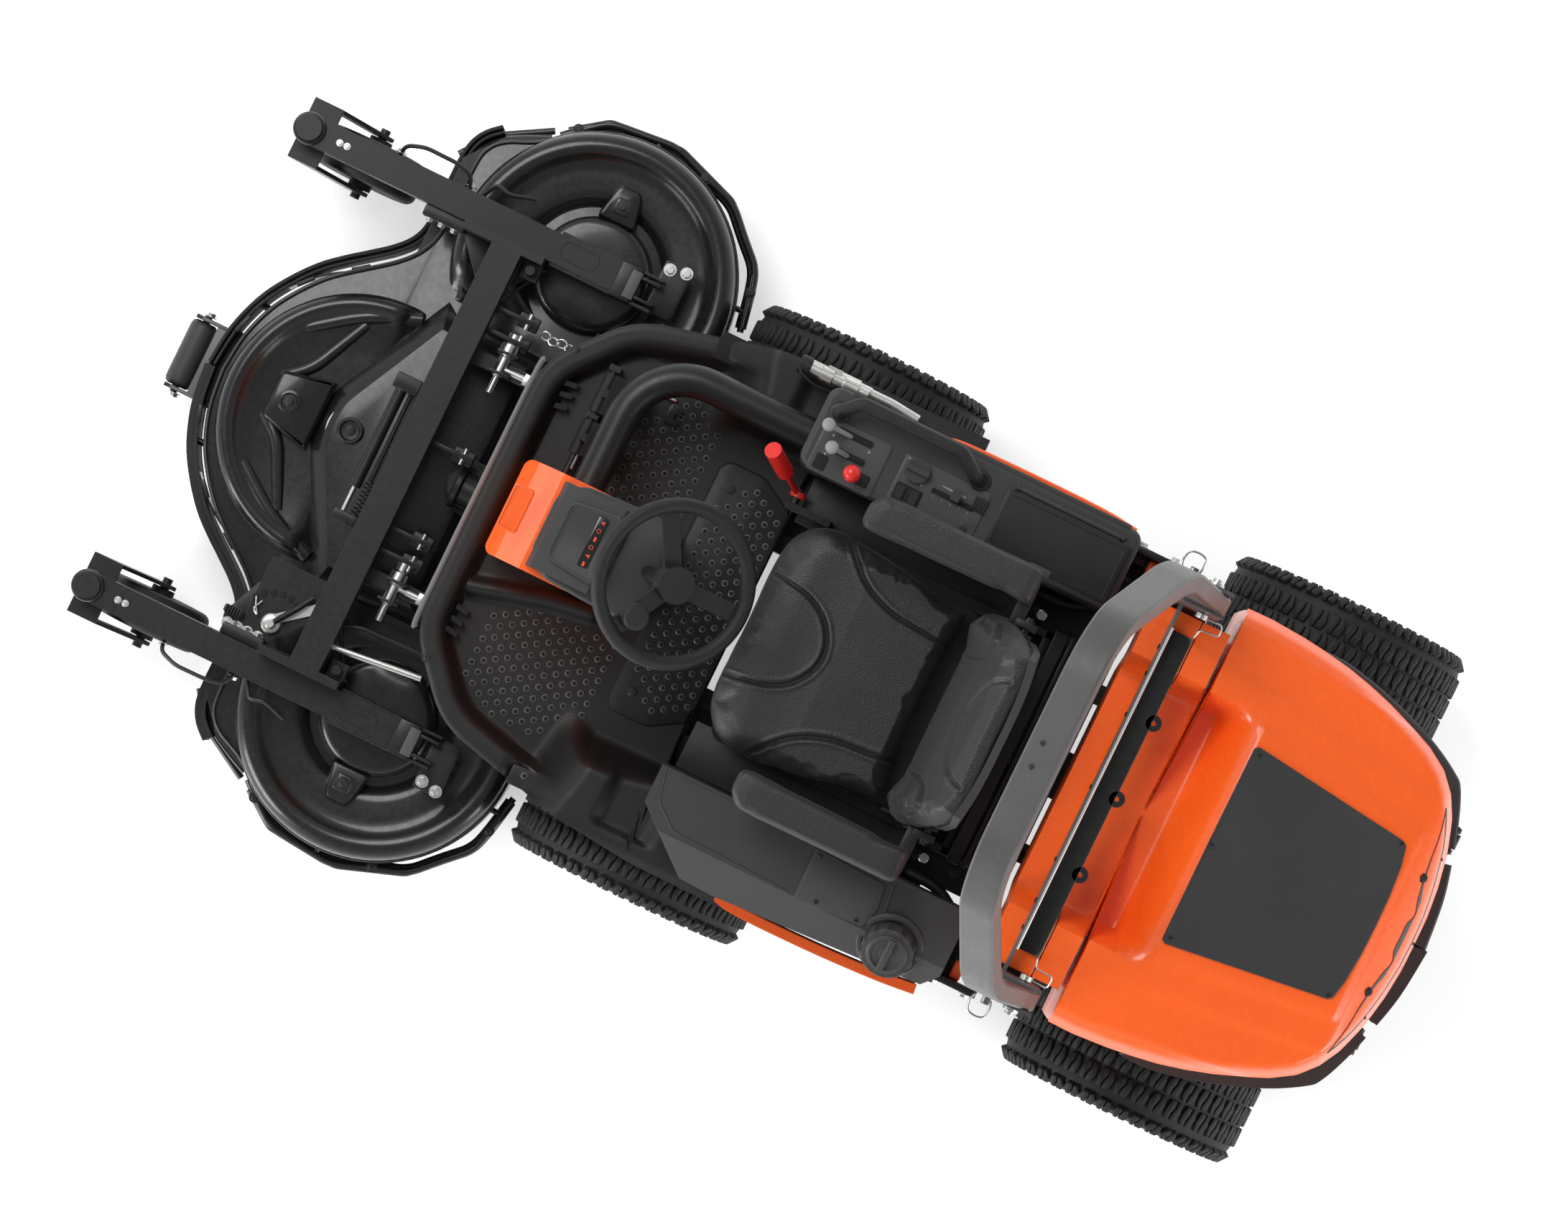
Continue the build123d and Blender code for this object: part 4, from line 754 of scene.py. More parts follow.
def wheel(name, body, node, axle, side):
    y, track, half = AXLES[axle]
    centre = (side * track, y, TYRE_R)
    w = half
    carcass = [(RIM_R - 4, -w + 26), (RIM_R + 3, -w + 14), (RIM_R + 16, -w + 7), (160, -w + 1.5), (190, -w), (214,
        -w + 2),
               (232, -w + 9), (241, -w + 20), (245, -w + 36), (246, 0)]
    carcass += [(r, -d) for r, d in carcass[-2::-1]]
    tyre = Form().turned(centre, [(RIM_R - 8, -w + 30)] + carcass + [(RIM_R - 8, w - 30)], 96, "x", closed=True)
    for d in (-1, 1):
        for r in (150, 157, 206):
            tyre.turned(centre, [(r - 1.6, d * (w - 3)), (r, d * (w - 0.2)), (r + 1.6, d * (w - 3))], 96, "x",
                closed=True)
    show(name + "_tyre", tyre, TYRE_RUBBER, body)
    rows = 4 if axle == "rear" else 3
    pitch = 44 if axle == "rear" else 45
    values = {"Centre": tuple(at(*centre)), "Rows": rows, "Row pitch": pitch / 1000, "Radius": 0.2455}
    TREAD.grow(name + "_tread", tread_block(39, 34, 6.3), body, values, 60, "tyre_rubber")
    for d in (-1, 1):
        edge = at(centre[0] + d * (w - 12.5), y, TYRE_R)
        values = {"Centre": tuple(edge), "Rows": 1, "Radius": 0.2375, "Stagger": 0.5}
        TREAD.grow(name + ("_shoulder_in" if d * side < 0 else "_shoulder_out"),
                   tread_block(26, 33, 7.5, 38 * d), body, values, 60, "tyre_rubber")
    rim = Form()
    out = side
    face = [(RIM_R + 6, out * (w - 14)), (RIM_R + 2, out * (w - 20)), (RIM_R - 6, out * (w - 26)), (RIM_R - 10,
        out * (w - 60)),
            (100, out * (w - 66)), (92, out * (w - 58)), (60, out * (w - 58)), (52, out * (w - 50)), (0,
                out * (w - 50))]
    rim.turned(centre, face, 64, "x")
    back = [(RIM_R + 6, -out * (w - 14)), (RIM_R - 6, -out * (w - 24)), (RIM_R - 10, out * (w - 66)), (0,
        out * (w - 67))]
    rim.turned(centre, back, 64, "x")
    rim.turned(centre, [(34, out * (w - 50)), (34, out * (w - 34)), (29, out * (w - 29)), (0, out * (w - 28))], 32,
        "x")
    show(name + "_rim", rim, RIM_PAINT, body)
    nuts = [((centre[0] + out * (w - 58), y + 46 * math.cos(math.tau * i / 5),
        TYRE_R + 46 * math.sin(math.tau * i / 5)),
             (out, 0, 0), 9) for i in range(5)]
    bolts(name + "_nuts", HEX_BOLTS, nuts, body)
    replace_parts(bpy.data.objects[name + "_tyre"], node)


RIM_PAINT = painted("rim_grey_paint", (0.10, 0.10, 0.10), 0.35, wear_and_sheen=1.8)
for end in ("front", "rear"):
    for hand, side in (("left", 1), ("right", -1)):
        wheel(f"{end}_{hand}", f"{end}_wheel_{hand}", f"{end}_{hand}_wheel", end, side)

# ---------------------------------------------------------------- mowing deck

SIDE_DISC = (490, -638)
MIDDLE_DISC = (0, -930)
PLATE_TOP = 209


def front_edge():
    """Right half of the deck plate's front edge, from the middle out to the side disc."""
    return [(0, -1226), (78, -1217), (150, -1193), (205, -1160), (252, -1122), (285, -1085), (316, -1045),
            (350, -1003), (385, -972), (425, -955), (480, -951), (590, -951), (632, -940), (660, -912), (684, -862),
            (715, -815)]


def arc(centre, radius, start, stop, count=24):
    return [(centre[0] + radius * math.cos(math.radians(start + (stop - start) * i / count)),
             centre[1] + radius * math.sin(math.radians(start + (stop - start) * i / count))) for i in range(count + 1)]


def deck_plate():
    half = smooth_line(front_edge(), 5) + arc(SIDE_DISC, 290, -37, 92, 40) + [(400, -352), (330, -400), (250, -418)]
    outline = half + [(-x, y) for x, y in reversed(half) if x > 0]
    form = Form().slab(outline, 203, PLATE_TOP, 2.5)
    lip = smooth_line(front_edge(), 5)
    for line in (lip, [(-x, y) for x, y in reversed(lip)]):
        strip(form, line, 3, 9, PLATE_TOP - 3, PLATE_TOP + 5, 2.5)
    return show("deck_plate", form, DECK_COAT, "deck", 30)


def front_skirt():
    """Two rubber strips round the front of the deck, and steel clips on them."""
    lip = smooth_line(front_edge()[:-2], 5)
    form = Form()
    for line, hand in ((lip, 1), ([(-x, y) for x, y in lip], -1)):
        strip(form, line, -hand * 14, -hand * 20, 96, 196, 1.5)
        strip(form, line, -hand * 24, -hand * 33, 84, 188, 2.5)
    show("front_skirt", form, GRIP_RUBBER, "deck", 40)
    clips = Form()
    for x, y, slope in ((100, -1225, 18), (230, -1150, 42), (303, -1062, 54)):
        for hand in (1, -1):
            ahead = Vector((hand * math.cos(math.radians(slope)), math.sin(math.radians(slope))))
            across = Vector((-ahead.y, ahead.x))
            middle = Vector((hand * x, y))
            corner = [middle + ahead * a + across * b for a, b in ((-19, -4), (19, -4), (19, 4), (-19, 4))]
            clips.slab([tuple(c) for c in corner], 190, 206, 1.5)
    show("skirt_clips", clips, BLACK_COAT, "deck")


def disc_cover(name, centre, profile, hide):
    """A pressed round cover. hide(x, y) is 0 where it stands in full and 1 where it has sunk into the plate."""
    form = Form().turned((*centre, 0), profile, 96)
    form.points = [(x, y, z + (PLATE_TOP - 4 - z) * hide(x, y)) for x, y, z in form.points]
    return show(name, form, DECK_COAT, "deck", 50)


def ease(value, start, stop):
    t = min(1.0, max(0.0, (value - start) / (stop - start)))
    return t * t * (3 - 2 * t)


def deck_covers():
    side_profile = [(286, 205), (286, 218), (283, 230), (277, 239), (268, 245), (258, 247), (248, 245), (240, 240),
                    (232, 233), (222, 229), (205, 228), (172, 228), (160, 226), (150, 221), (142, 213), (136, 208),
                    (121, 207), (118.5, 211), (117, 232), (114, 241), (108, 246), (98, 248), (60, 249), (0, 249)]
    for hand, name in ((1, "left"), (-1, "right")):
        disc_cover("disc_cover_" + name, (hand * SIDE_DISC[0], SIDE_DISC[1]), side_profile,
                   lambda x, y: ease(abs(x), 400, 330))
    middle_profile = [(279, 205), (278, 220), (274, 232), (267, 240), (258, 244), (249, 242), (240, 236), (231,
        229),
                      (222, 225), (150, 223), (90, 222), (0, 222)]
    cover = disc_cover("disc_cover_middle", MIDDLE_DISC, middle_profile, lambda x, y: ease(y, -950, -890))
    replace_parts(cover, "belt_covers")
    ribs = Form()
    for hand in (1, -1):
        ribs.tube([(hand * 40, -1108, 214), (hand * 80, -1060, 220), (hand * 205, -1000, 214)], 15, 16, 30)
        ribs.tube([(hand * 150, -1105, 214), (hand * 222, -1010, 220), (hand * 262, -905, 214)], 17, 16, 60)
    show("cover_ribs", ribs, DECK_COAT, "deck", 60)


def belt_roof():
    """The arrow-shaped belt cover with its broad sloping edge."""
    half = [(0, -1009), (22, -1008), (55, -1003), (84, -990), (318, -872), (300, -846), (296, -640)]
    outline = half + [(-x, y) for x, y in reversed(half) if x > 0]
    form = Form()
    steps = [(0, 205), (0, 218), (3, 222), (36, 245), (39, 246)]
    form.rings([[(x, y, z) for x, y in inset(outline, d)] for d, z in steps])
    show("belt_roof", form, DECK_COAT, "deck", 25)
    wings = Form()
    for hand in (1, -1):
        line = [(hand * 326, -866), (hand * 345, -868), (hand * 395, -898), (hand * 452, -921)]
        wide = [(x, y + 20) for x, y in reversed(line)]
        wings.rings([[(x, y, z) for x, y in inset(rounded(line + wide, 6, 3), d)] for d, z in
                     ((0, 206), (2, 216), (7, 219))])
    show("belt_roof_wings", wings, DECK_COAT, "deck", 30)


def deck_bosses():
    """Raised corners that carry the cover bolts, with their washers and bolts."""
    form = Form()
    middle = rounded([(-52, -1113), (52, -1113), (76, -1000), (-76, -1000)], [16, 16, 6, 6], 5)
    form.rings([[(x, y, z) for x, y in inset(middle, d)] for d, z in ((0, 210), (2, 240), (7, 247), (9, 248))])
    for hand in (1, -1):
        side = rounded([(hand * x, y) for x, y in ((600, -685), (600, -597), (668, -612), (680, -622), (680, -662),
                                                   (668, -671))], [14, 14, 8, 8, 8, 8], 4)
        form.rings([[(x, y, z) for x, y in inset(side, d)] for d, z in ((0, 210), (2, 240), (6, 249), (8, 250))])
        pad = rounded(box_outline(hand * 637 - 17, hand * 637 + 17, -659, -625), 7, 4)
        form.rings([[(x, y, z) for x, y in inset(pad, d)] for d, z in ((0, 249), (1, 252), (3, 253))])
    form.turned((0, -1070, 0), [(23, 247), (22, 251), (17, 252), (15, 249), (0, 249)], 32)
    form.turned((0, -936, 0), [(27, 245), (27, 251), (24, 254), (21, 254), (18, 249), (10, 248.5), (9, 253), (0,
        253.5)], 32)
    show("deck_bosses", form, DECK_COAT, "deck", 30)
    spots = [((0, -1070, 249), UP, 9)] + [((hand * 637, -642, 251.5), UP, 9) for hand in (1, -1)]
    bolts("boss_bolts", DARK_BOLTS, spots, "deck")


def side_rails():
    """Bent flat rails round the side discs, with their fixing screws."""
    z = 150
    form = Form()
    rear = [(718, -822), (738, -800), (785, -742), (799, -598), (768, -520), (748, -452), (694, -400), (648, -352),
            (596, -338), (528, -325)]
    fore = [(560, -978), (612, -968), (662, -930), (688, -880), (708, -836)]
    for hand in (1, -1):
        for run, corner in ((rear, 26), (fore, 22)):
            for shift, level, radius in ((0, z, 8.2), (-9, z - 16, 6.5)):
                line = [Vector((hand * x, y, level)) for x, y in run]
                middle = Vector((hand * 491, -636, level))
                line = [p + (p - middle).normalized() * shift for p in line]
                form.tube(line, radius, 12, corner, 1.0)
    rails = show("side_rails", form, DECK_COAT, "deck", 50)
    spots = []
    for x, y in ((745, -795), (767, -522), (600, -342)):
        spots += [((x, y, z + 7), UP, 7.5), ((-x, y, z + 7), UP, 7.5)]
    bolts("side_rail_screws", DARK_BOLTS, spots, "deck")
    return rails


def roller_fork():
    form = Form()
    form.slab(box_outline(-73, 73, -1275, -1227), 122, 134, 3)
    for hand in (1, -1):
        form.slab(box_outline(hand * 73, hand * 79, -1312, -1205), 84, 131, 1.5)
        form.slab(box_outline(hand * 80, hand * 84, -1255, -1200), 96, 138, 1)
    show("roller_fork", form, RIM_PAINT, "deck")
    spots = [((hand * 49, -1252, 133), UP, 4) for hand in (1, -1)]
    bolts("fork_rivets", DARK_BOLTS, spots, "deck")
    ends = [((hand * 84, -1300, 96), (hand, 0, 0), 9) for hand in (1, -1)]
    bolts("roller_axle_nuts", HEX_BOLTS, ends, "deck")
    roll = Form().turned((0, -1304, 96), [(8.3, -70.5), (20, -70.5), (25, -67), (27.6, -60), (28, -50), (28, 50),
                                         (27.6, 60), (25, 67), (20, 70.5), (8.3, 70.5)], 40, "x", closed=True)
    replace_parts(show("deck_roller", roll, DARK_MOULDED, "roller", 40), "front_roller")


deck_plate()
front_skirt()
deck_covers()
belt_roof()
deck_bosses()
side_rails()
roller_fork()

# ---------------------------------------------------------------- operator's platform

FLOOR_LEVEL = 421
RIM_HALF = [(0, -640), (288, -640), (438, -512), (478, -352), (503, -232), (521, -60), (524, 214)]


def reach_inside(x, y, line):
    """How far a point lies inside an open outline that runs along the edge."""
    best = 1e9
    for (ax, ay), (bx, by) in zip(line, line[1:]):
        dx, dy = bx - ax, by - ay
        t = max(0, min(1, ((x - ax) * dx + (y - ay) * dy) / (dx * dx + dy * dy)))
        best = min(best, math.hypot(x - ax - t * dx, y - ay - t * dy))
    return best


def floor_height(x, y):
    """The moulded floor: a rounded rim, foot wells, a rib on the left and the fenders."""
    hand = 1 if x > 0 else -1
    x = abs(x)
    inside = reach_inside(x, y, RIM_LINE)
    rim = 462 + 4 * ease(inside, 0, 9) - 2 * ease(inside, 30, 40)
    z = rim + (FLOOR_LEVEL - rim) * ease(inside, 38, 66)
    if hand > 0:
        rib = reach_inside(x, y, [(172, -578), (128, -420), (116, -340)])
        z = max(z, FLOOR_LEVEL + 22 * (1 - ease(rib, 4, 26)))
        pocket = ease(y, -360, -350) * (1 - ease(y, -240, -230)) * ease(x, 440, 450) * (1 - ease(x, 484, 492))
        z -= 14 * pocket
    crest = 543 - 10 * ease(x, 490, 525) ** 2
    shoulder = ease(x + 0.55 * max(0, -230 - y), 322, 392 - 22 * hand * ease(y, -200, -60))
    front = ease(y + 0.20 * (x - 400), -322, -205)
    z = z + (crest - z) * shoulder * front * (1 if x > 300 else 0)
    return z - 14 * ease(y, -165, -145) * (1 - ease(y, -60, -30)) * ease(x, 352, 372) * (1 - ease(x, 470, 485))


RIM_LINE = rounded(RIM_HALF, [0, 60, 60, 30, 20, 20, 0], 5)[6:-6]
RIM_LINE = [(0, -640)] + RIM_LINE + [(524, 214)]


def platform_moulding():
    """A sheet that follows the floor's rule, with a turned-down edge."""
    form = Form()
    half_line = smooth_line(RIM_LINE, 2)
    across = 74
    rows = []
    steps = []
    y = -640
    while y < 214:
        steps.append(y)
        y += 5 if y < -500 or -340 < y < -200 else 9
    steps.append(214)
    for y in steps:
        width = 20
        for (ax, ay), (bx, by) in zip(RIM_LINE, RIM_LINE[1:]):
            if min(ay, by) - 1e-6 <= y <= max(ay, by) + 1e-6 and abs(by - ay) > 1e-6:
                width = max(width, ax + (bx - ax) * (y - ay) / (by - ay))
        width = 262 if y == -640 else width
        inner = 0 if y < -72 else 250
        right = [(inner + (width - inner) * i / across, y) for i in range(across + 1)]
        rows.append(right)
    for hand in (1, -1):
        points = [[(hand * x, y, floor_height(hand * x, y)) for x, y in row] for row in rows]
        edge = [[(*row[-1][:2], row[-1][2] - drop) for drop in (6, 40)] for row in points]
        points = [row + tail for row, tail in zip(points, edge)]
        form.rings(points, closed=False, caps=(False, False))
        form.rings([[points[0][i], (points[0][i][0], points[0][i][1], points[0][i][2] - 40)]
                    for i in range(across + 1)], closed=False, caps=(False, False))
    moulding = show("platform_moulding", form, FLOOR_MOULDED, "chassis", 40)
    wall = moulding.modifiers.new("sheet_thickness", "SOLIDIFY")
    wall.thickness = 0.003
    wall.offset = -1
    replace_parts(moulding, "platform")


def lip_strip():
    """The lip along the front edge, pale grey as a painted highlight."""
    line = [(-292, -637), (-270, -642), (-120, -643), (120, -643), (270, -642), (292, -637)]
    form = Form().tube([(x, y, 459) for x, y in smooth_line(line, 4)], 5.5, 12, flat=1.3)
    show("front_lip", form, LIP_HIGHLIGHT, "chassis")


# Pale grey for the lip tube: a painted highlight.
LIP_HIGHLIGHT = moulded("painted_lip_highlight_grey", (0.16, 0.16, 0.16), 0.4)


def tread_holes():
    """Drainage holes with raised collars, staggered over both foot wells and the lid; each hole is a dark disc, painted
    shade.
    """
    left, right, lid = [], [], []
    for column in range(13):
        y = -510 + 20 * column
        shift = 12.5 * (column % 2)
        low = 150 + 0.55 * max(0, -430 - y)
        high = 385 - 0.7 * max(0, -455 - y) - 1.05 * max(0, y + 345)
        x = 130 + shift
        while x < high:
            if x > low:
                left.append(((x, y, FLOOR_LEVEL), UP, 6.6))
            x += 25
        if y >= -410:
            x = -105 - shift
            while x > -350 + 0.9 * max(0, -340 - y) + 1.2 * max(0, y + 300):
                right.append(((x, y, FLOOR_LEVEL), UP, 6.6))
                x -= 25
    for column in range(7):
        y = -210 + 20 * column
        shift = 12.5 * (column % 2)
        reach = 245 - 1.4 * max(0, -165 - y) - 1.1 * max(0, y + 125)
        for step in range(-10, 11):
            x = shift + 25 * step
            if abs(x) < reach and not (y < -180 and 190 < abs(x) < 245):
                lid.append(((x, y, FLOOR_LEVEL + 5.4), UP, 6.6))
    for name, spots in (("left_foot_holes", left), ("right_foot_holes", right), ("lid_holes", lid)):
        bolts(name + "_collars", HOLE_COLLARS, spots, "chassis")
        # A dark disc in each collar: painted shade for the hole.
        dark = [((x, y, z + 0.2), aim, size * 0.66) for (x, y, z), aim, size in spots]
        bolts(name + "_hole_shades", HOLE_DARKS, dark, "chassis")


def floor_details():
    lid = [(-255, -240), (255, -240), (272, -222), (272, -148), (228, -72), (-228, -72), (-272, -148), (-272, -222)]
    # A dark slab under the lid's edge: painted shade in the gap round the lid.
    gap = Form().slab(rounded(lid, 10, 4), 419, 422.4, 0.3)
    show("lid_gap_shade", gap, HOLE_DARK, "chassis")
    plate = Form().slab(rounded(inset(lid, 3), 10, 4), 420, FLOOR_LEVEL + 5.4, 1.2)
    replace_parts(show("lid_plate", plate, FLOOR_MOULDED, "chassis"), "floor_lid")
    bolts("lid_screws", PAN_SCREWS, [((s * 221, -200, 426.2), UP, 9) for s in (1, -1)], "chassis")
    # Dark slabs in the rim's slots: painted shade.
    slots = Form()
    for hand in (1, -1):
        for x in (220, 245, 268):
            a = [(x - 7, -583), (x + 4, -583), (x + 8, -556), (x - 3, -556)]
            slots.slab(rounded([(hand * u, v) for u, v in a], 2.5, 3), 430, 448, 0.3)
    show("rim_slot_shades", slots, HOLE_DARK, "chassis")
    bolts("rim_bolts", DARK_BOLTS, [((s * 335, -590, 463), UP, 7) for s in (1, -1)], "chassis")
    # A dark block for the right pocket: painted shade in the recess.
    pockets = Form()
    pockets.slab(rounded(box_outline(-494, -438, -347, -236), 5, 3), 430, 470, 0.5)
    show("right_pocket_shade", pockets, HOLE_DARK, "chassis")
    plate = Form().slab(rounded(box_outline(446, 487, -347, -237), 5, 3), 440, 461, 1)
    show("left_pocket_plate", plate, FLOOR_MOULDED, "chassis")
    spots = [((460, -318, 461), UP, 7), ((465, -292, 461), UP, 7), ((470, -267, 461), UP, 7)]
    bolts("left_pocket_collars", HOLE_COLLARS, spots, "chassis")
    # Dark discs in the pocket plate's holes: painted shade.
    bolts("left_pocket_hole_shades", HOLE_DARKS, [(p, a, 4.6) for p, a, _ in spots], "chassis")
    wire = Form().tube([(-330, -372, 428), (-330, -455, 432), (-296, -470, 450), (-296, -500, 456)], 4, 10, 12)
    wire.tube([(-205, -500, 452), (-120, -500, 452)], 5.5, 12)
    wire.tube([(-205, -500, 452), (-228, -470, 446), (-228, -440, 434)], 4, 10, 8)
    show("pedal_wire", wire, ZINC, "chassis")
    notch = Form().slab([(-318, -378), (-284, -378), (-284, -350), (-295, -350), (-295, -362), (-306, -362), (-306,
        -350),
                         (-318, -350)], 424, 430, 1)
    show("pedal_stop", notch, BLACK_COAT, "chassis")


platform_moulding()
lip_strip()
tread_holes()
floor_details()

# ---------------------------------------------------------------- steering column

ICON_LAMP = painted("icon_red_print", (0.75, 0.06, 0.03), 0.4)
DISPLAY_GLASS = painted("display_black_gloss", (0.008, 0.008, 0.008), 0.08, coat=0.6, wear_and_sheen=1.5)


def column_details():
    nose = Form()
    recess = rounded(box_outline(-46, 46, -566, -524), 9, 4)
    nose.rings([[(x, y, z) for x, y in inset(recess, d)] for d, z in ((0, 806), (1, 819), (4, 819.6), (6, 817.6))],
               caps=(False, True))
    show("nose_recess", nose, ORANGE_TRIM, "chassis", 40)
    dash = Form()
    raised = rounded([(-62, -455), (60, -455), (72, -350), (-74, -350)], [20, 20, 6, 6], 5)
    dash.rings([[(x, y, z + (y + 455) * 0.10) for x, y in inset(raised, d)] for d, z in
                ((0, 842), (2, 858), (5, 859), (8, 857.5))], caps=(False, True))
    show("dash_bezel", dash, PANEL_MOULDED, "chassis", 40)
    glass = Form().slab(rounded(box_outline(-56, 46, -393, -370), 4, 3), 858, 866, 0.8)
    show("icon_strip", glass, DISPLAY_GLASS, "chassis")
    marks = Form()
    for i, kind in enumerate((0, 1, 2, 1, 0, 2)):
        x = -46 + 17 * i
        if kind == 0:
            marks.slab([(x - 4, -377), (x + 4, -377), (x, -386)], 865, 866.5, 0.2)
        elif kind == 1:
            marks.turned((x, -382, 0), [(4.4, 865.5), (4.4, 866.5), (3, 866.6), (3, 865.5)], 16)
        else:
            marks.slab(box_outline(x - 4.5, x + 4.5, -384, -379), 865, 866.5, 0.2)
    show("icon_marks", marks, ICON_LAMP, "chassis")


column_details()

# ---------------------------------------------------------------- seat


def puffed(thing, voxel, cap, pressure=4.0):
    """Swells a closed shape as cloth under pressure, with each point's move capped, and keeps the result."""
    bpy.context.view_layer.update()
    remesh = thing.modifiers.new("even_mesh", "REMESH")
    remesh.mode = "VOXEL"
    remesh.voxel_size = voxel
    graph = bpy.context.evaluated_depsgraph_get()
    even = bpy.data.meshes.new_from_object(thing.evaluated_get(graph))
    thing.modifiers.clear()
    thing.data = even
    start = [v.co.copy() for v in even.vertices]
    moved = start
    cloth = thing.modifiers.new("cloth", "CLOTH")
    cloth.settings.use_pressure = True
    cloth.settings.uniform_pressure_force = pressure
    cloth.settings.effector_weights.gravity = 0
    cloth.settings.quality = 4
    cloth.settings.tension_stiffness = 18
    cloth.settings.compression_stiffness = 18
    cloth.point_cache.frame_end = 20
    for number in range(1, 21):
        bpy.context.scene.frame_set(number)
    graph = bpy.context.evaluated_depsgraph_get()
    moved = [v.co.copy() for v in thing.evaluated_get(graph).data.vertices]
    thing.modifiers.clear()
    bpy.context.scene.frame_set(1)
    for vertex, old, new in zip(even.vertices, start, moved):
        step = new - old
        if step.length > cap:
            step *= cap / step.length
        vertex.co = old + step
    smooth = thing.modifiers.new("finer", "SUBSURF")
    smooth.levels = smooth.render_levels = 1
    graph = bpy.context.evaluated_depsgraph_get()
    finer = bpy.data.meshes.new_from_object(thing.evaluated_get(graph))
    thing.modifiers.clear()
    thing.data = finer
    for polygon in finer.polygons:
        polygon.use_smooth = True
    return thing


def relax(mesh, rounds):
    """Evens out the faint steps that the voxels leave."""
    work = bmesh.new()
    work.from_mesh(mesh)
    for _ in range(rounds):
        bmesh.ops.smooth_vert(work, verts=work.verts, factor=0.5, use_axis_x=True, use_axis_y=True, use_axis_z=True)
    work.to_mesh(mesh)
    work.free()


def near_line(point, line):
    best = 1e9
    for a, b in zip(line, line[1:]):
        ab = b - a
        t = max(0.0, min(1.0, (point - a).dot(ab) / ab.length_squared))
        best = min(best, (point - a - ab * t).length)
    return best


def sew(thing, lines, width, depth, push, facing):
    """Presses sewn channels into a padded piece along lines given in plan."""
    lines = [[Vector((x, y - MIDDLE)) / 1000 for x, y in line] for line in lines]
    boxes = [(min(p.x for p in line) - 0.03, max(p.x for p in line) + 0.03, min(p.y for p in line) - 0.03,
              max(p.y for p in line) + 0.03) for line in lines]
    push = Vector(push)
    for vertex in thing.data.vertices:
        if vertex.normal.dot(facing) < 0.1:
            continue
        here = vertex.co.xy
        for line, (x0, x1, y0, y1) in zip(lines, boxes):
            if x0 < here.x < x1 and y0 < here.y < y1:
                d = near_line(here, line)
                if d < width * 3:
                    vertex.co += push * (depth * math.exp(-(d / width) ** 2) -
                                         depth * 0.28 * math.exp(-((d - width * 1.9) / width) ** 2))


def bend_pairs(points):
    return smooth_line([(x, y) for y, x in points], 6)


def seat_cushion():
    half = [(0, -70), (105, -70), (170, -62), (212, -38), (236, 0), (242, 50), (240, 110), (228, 200), (208, 275),
            (200, 322)]
    outline = smooth_line(half, 4) + [(-x, y) for x, y in reversed(smooth_line(half, 4)) if x > 0]
    form = Form()
    rings = []
    for d, z in ((10, 669), (2, 676), (0, 690), (0, 718), (3, 734), (10, 744), (22, 749)):
        rings.append([(x, y, z) for x, y in inset(outline, d)])
    form.rings(rings)
    for i, (x, y, z) in enumerate(form.points):
        raise_side = 9 * ease(abs(x), 120, 215) * ease(y, 60, 220)
        drop_front = -16 * (1 - ease(y, -75, 20))
        if z > 700:
            form.points[i] = (x, y, z + raise_side + drop_front)
    cushion = show("seat_cushion_cover", form, SEAT_VINYL, "seat", 60)
    puffed(cushion, 0.006, 0.014)
    relax(cushion.data, 2)
    for vertex in cushion.data.vertices:
        x, y, z = vertex.co.x * 1000, vertex.co.y * 1000 + MIDDLE, vertex.co.z * 1000
        if z > 700:
            z += 5 * ease(abs(x), 120, 215) * ease(y, 60, 220) - 7 * ease(y, 290, 325) * (1 - ease(abs(x), 110,
                150))
        vertex.co = at(x, y, min(max(z, 665.5), 766))
    tongue = bend_pairs([(-84, -109), (-60, -107), (-20, -103), (30, -93), (70, -70), (95, -35), (103, 0), (95, 35),
                         (70, 70), (30, 93), (-20, 103), (-60, 107), (-84, 109)])
    sides = []
    for s in (1, -1):
        sides.append(bend_pairs([(38, s * 258), (52, s * 232), (75, s * 203), (105, s * 172), (140, s * 150),
                                 (190, s * 133), (250, s * 127), (310, s * 122), (345, s * 119)]))
    sew(cushion, [tongue, *sides], 0.0045, 0.0085, (0, 0, -1), Vector((0, 0, 1)))
    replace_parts(cushion, "seat_cushion")
    beads = Form()
    for line in (tongue, *sides):
        path = []
        for x, y in line:
            hit, place, _, _ = cushion.ray_cast(at(x, y, 900), Vector((0, 0, -1)))
            if hit and place.z > 0.69:
                path.append((x, y, place.z * 1000 + 0.6))
        if len(path) > 4:
            beads.tube(path, 1.8, 8)
    show("seat_welt", beads, SEAT_VINYL, "seat", 60)


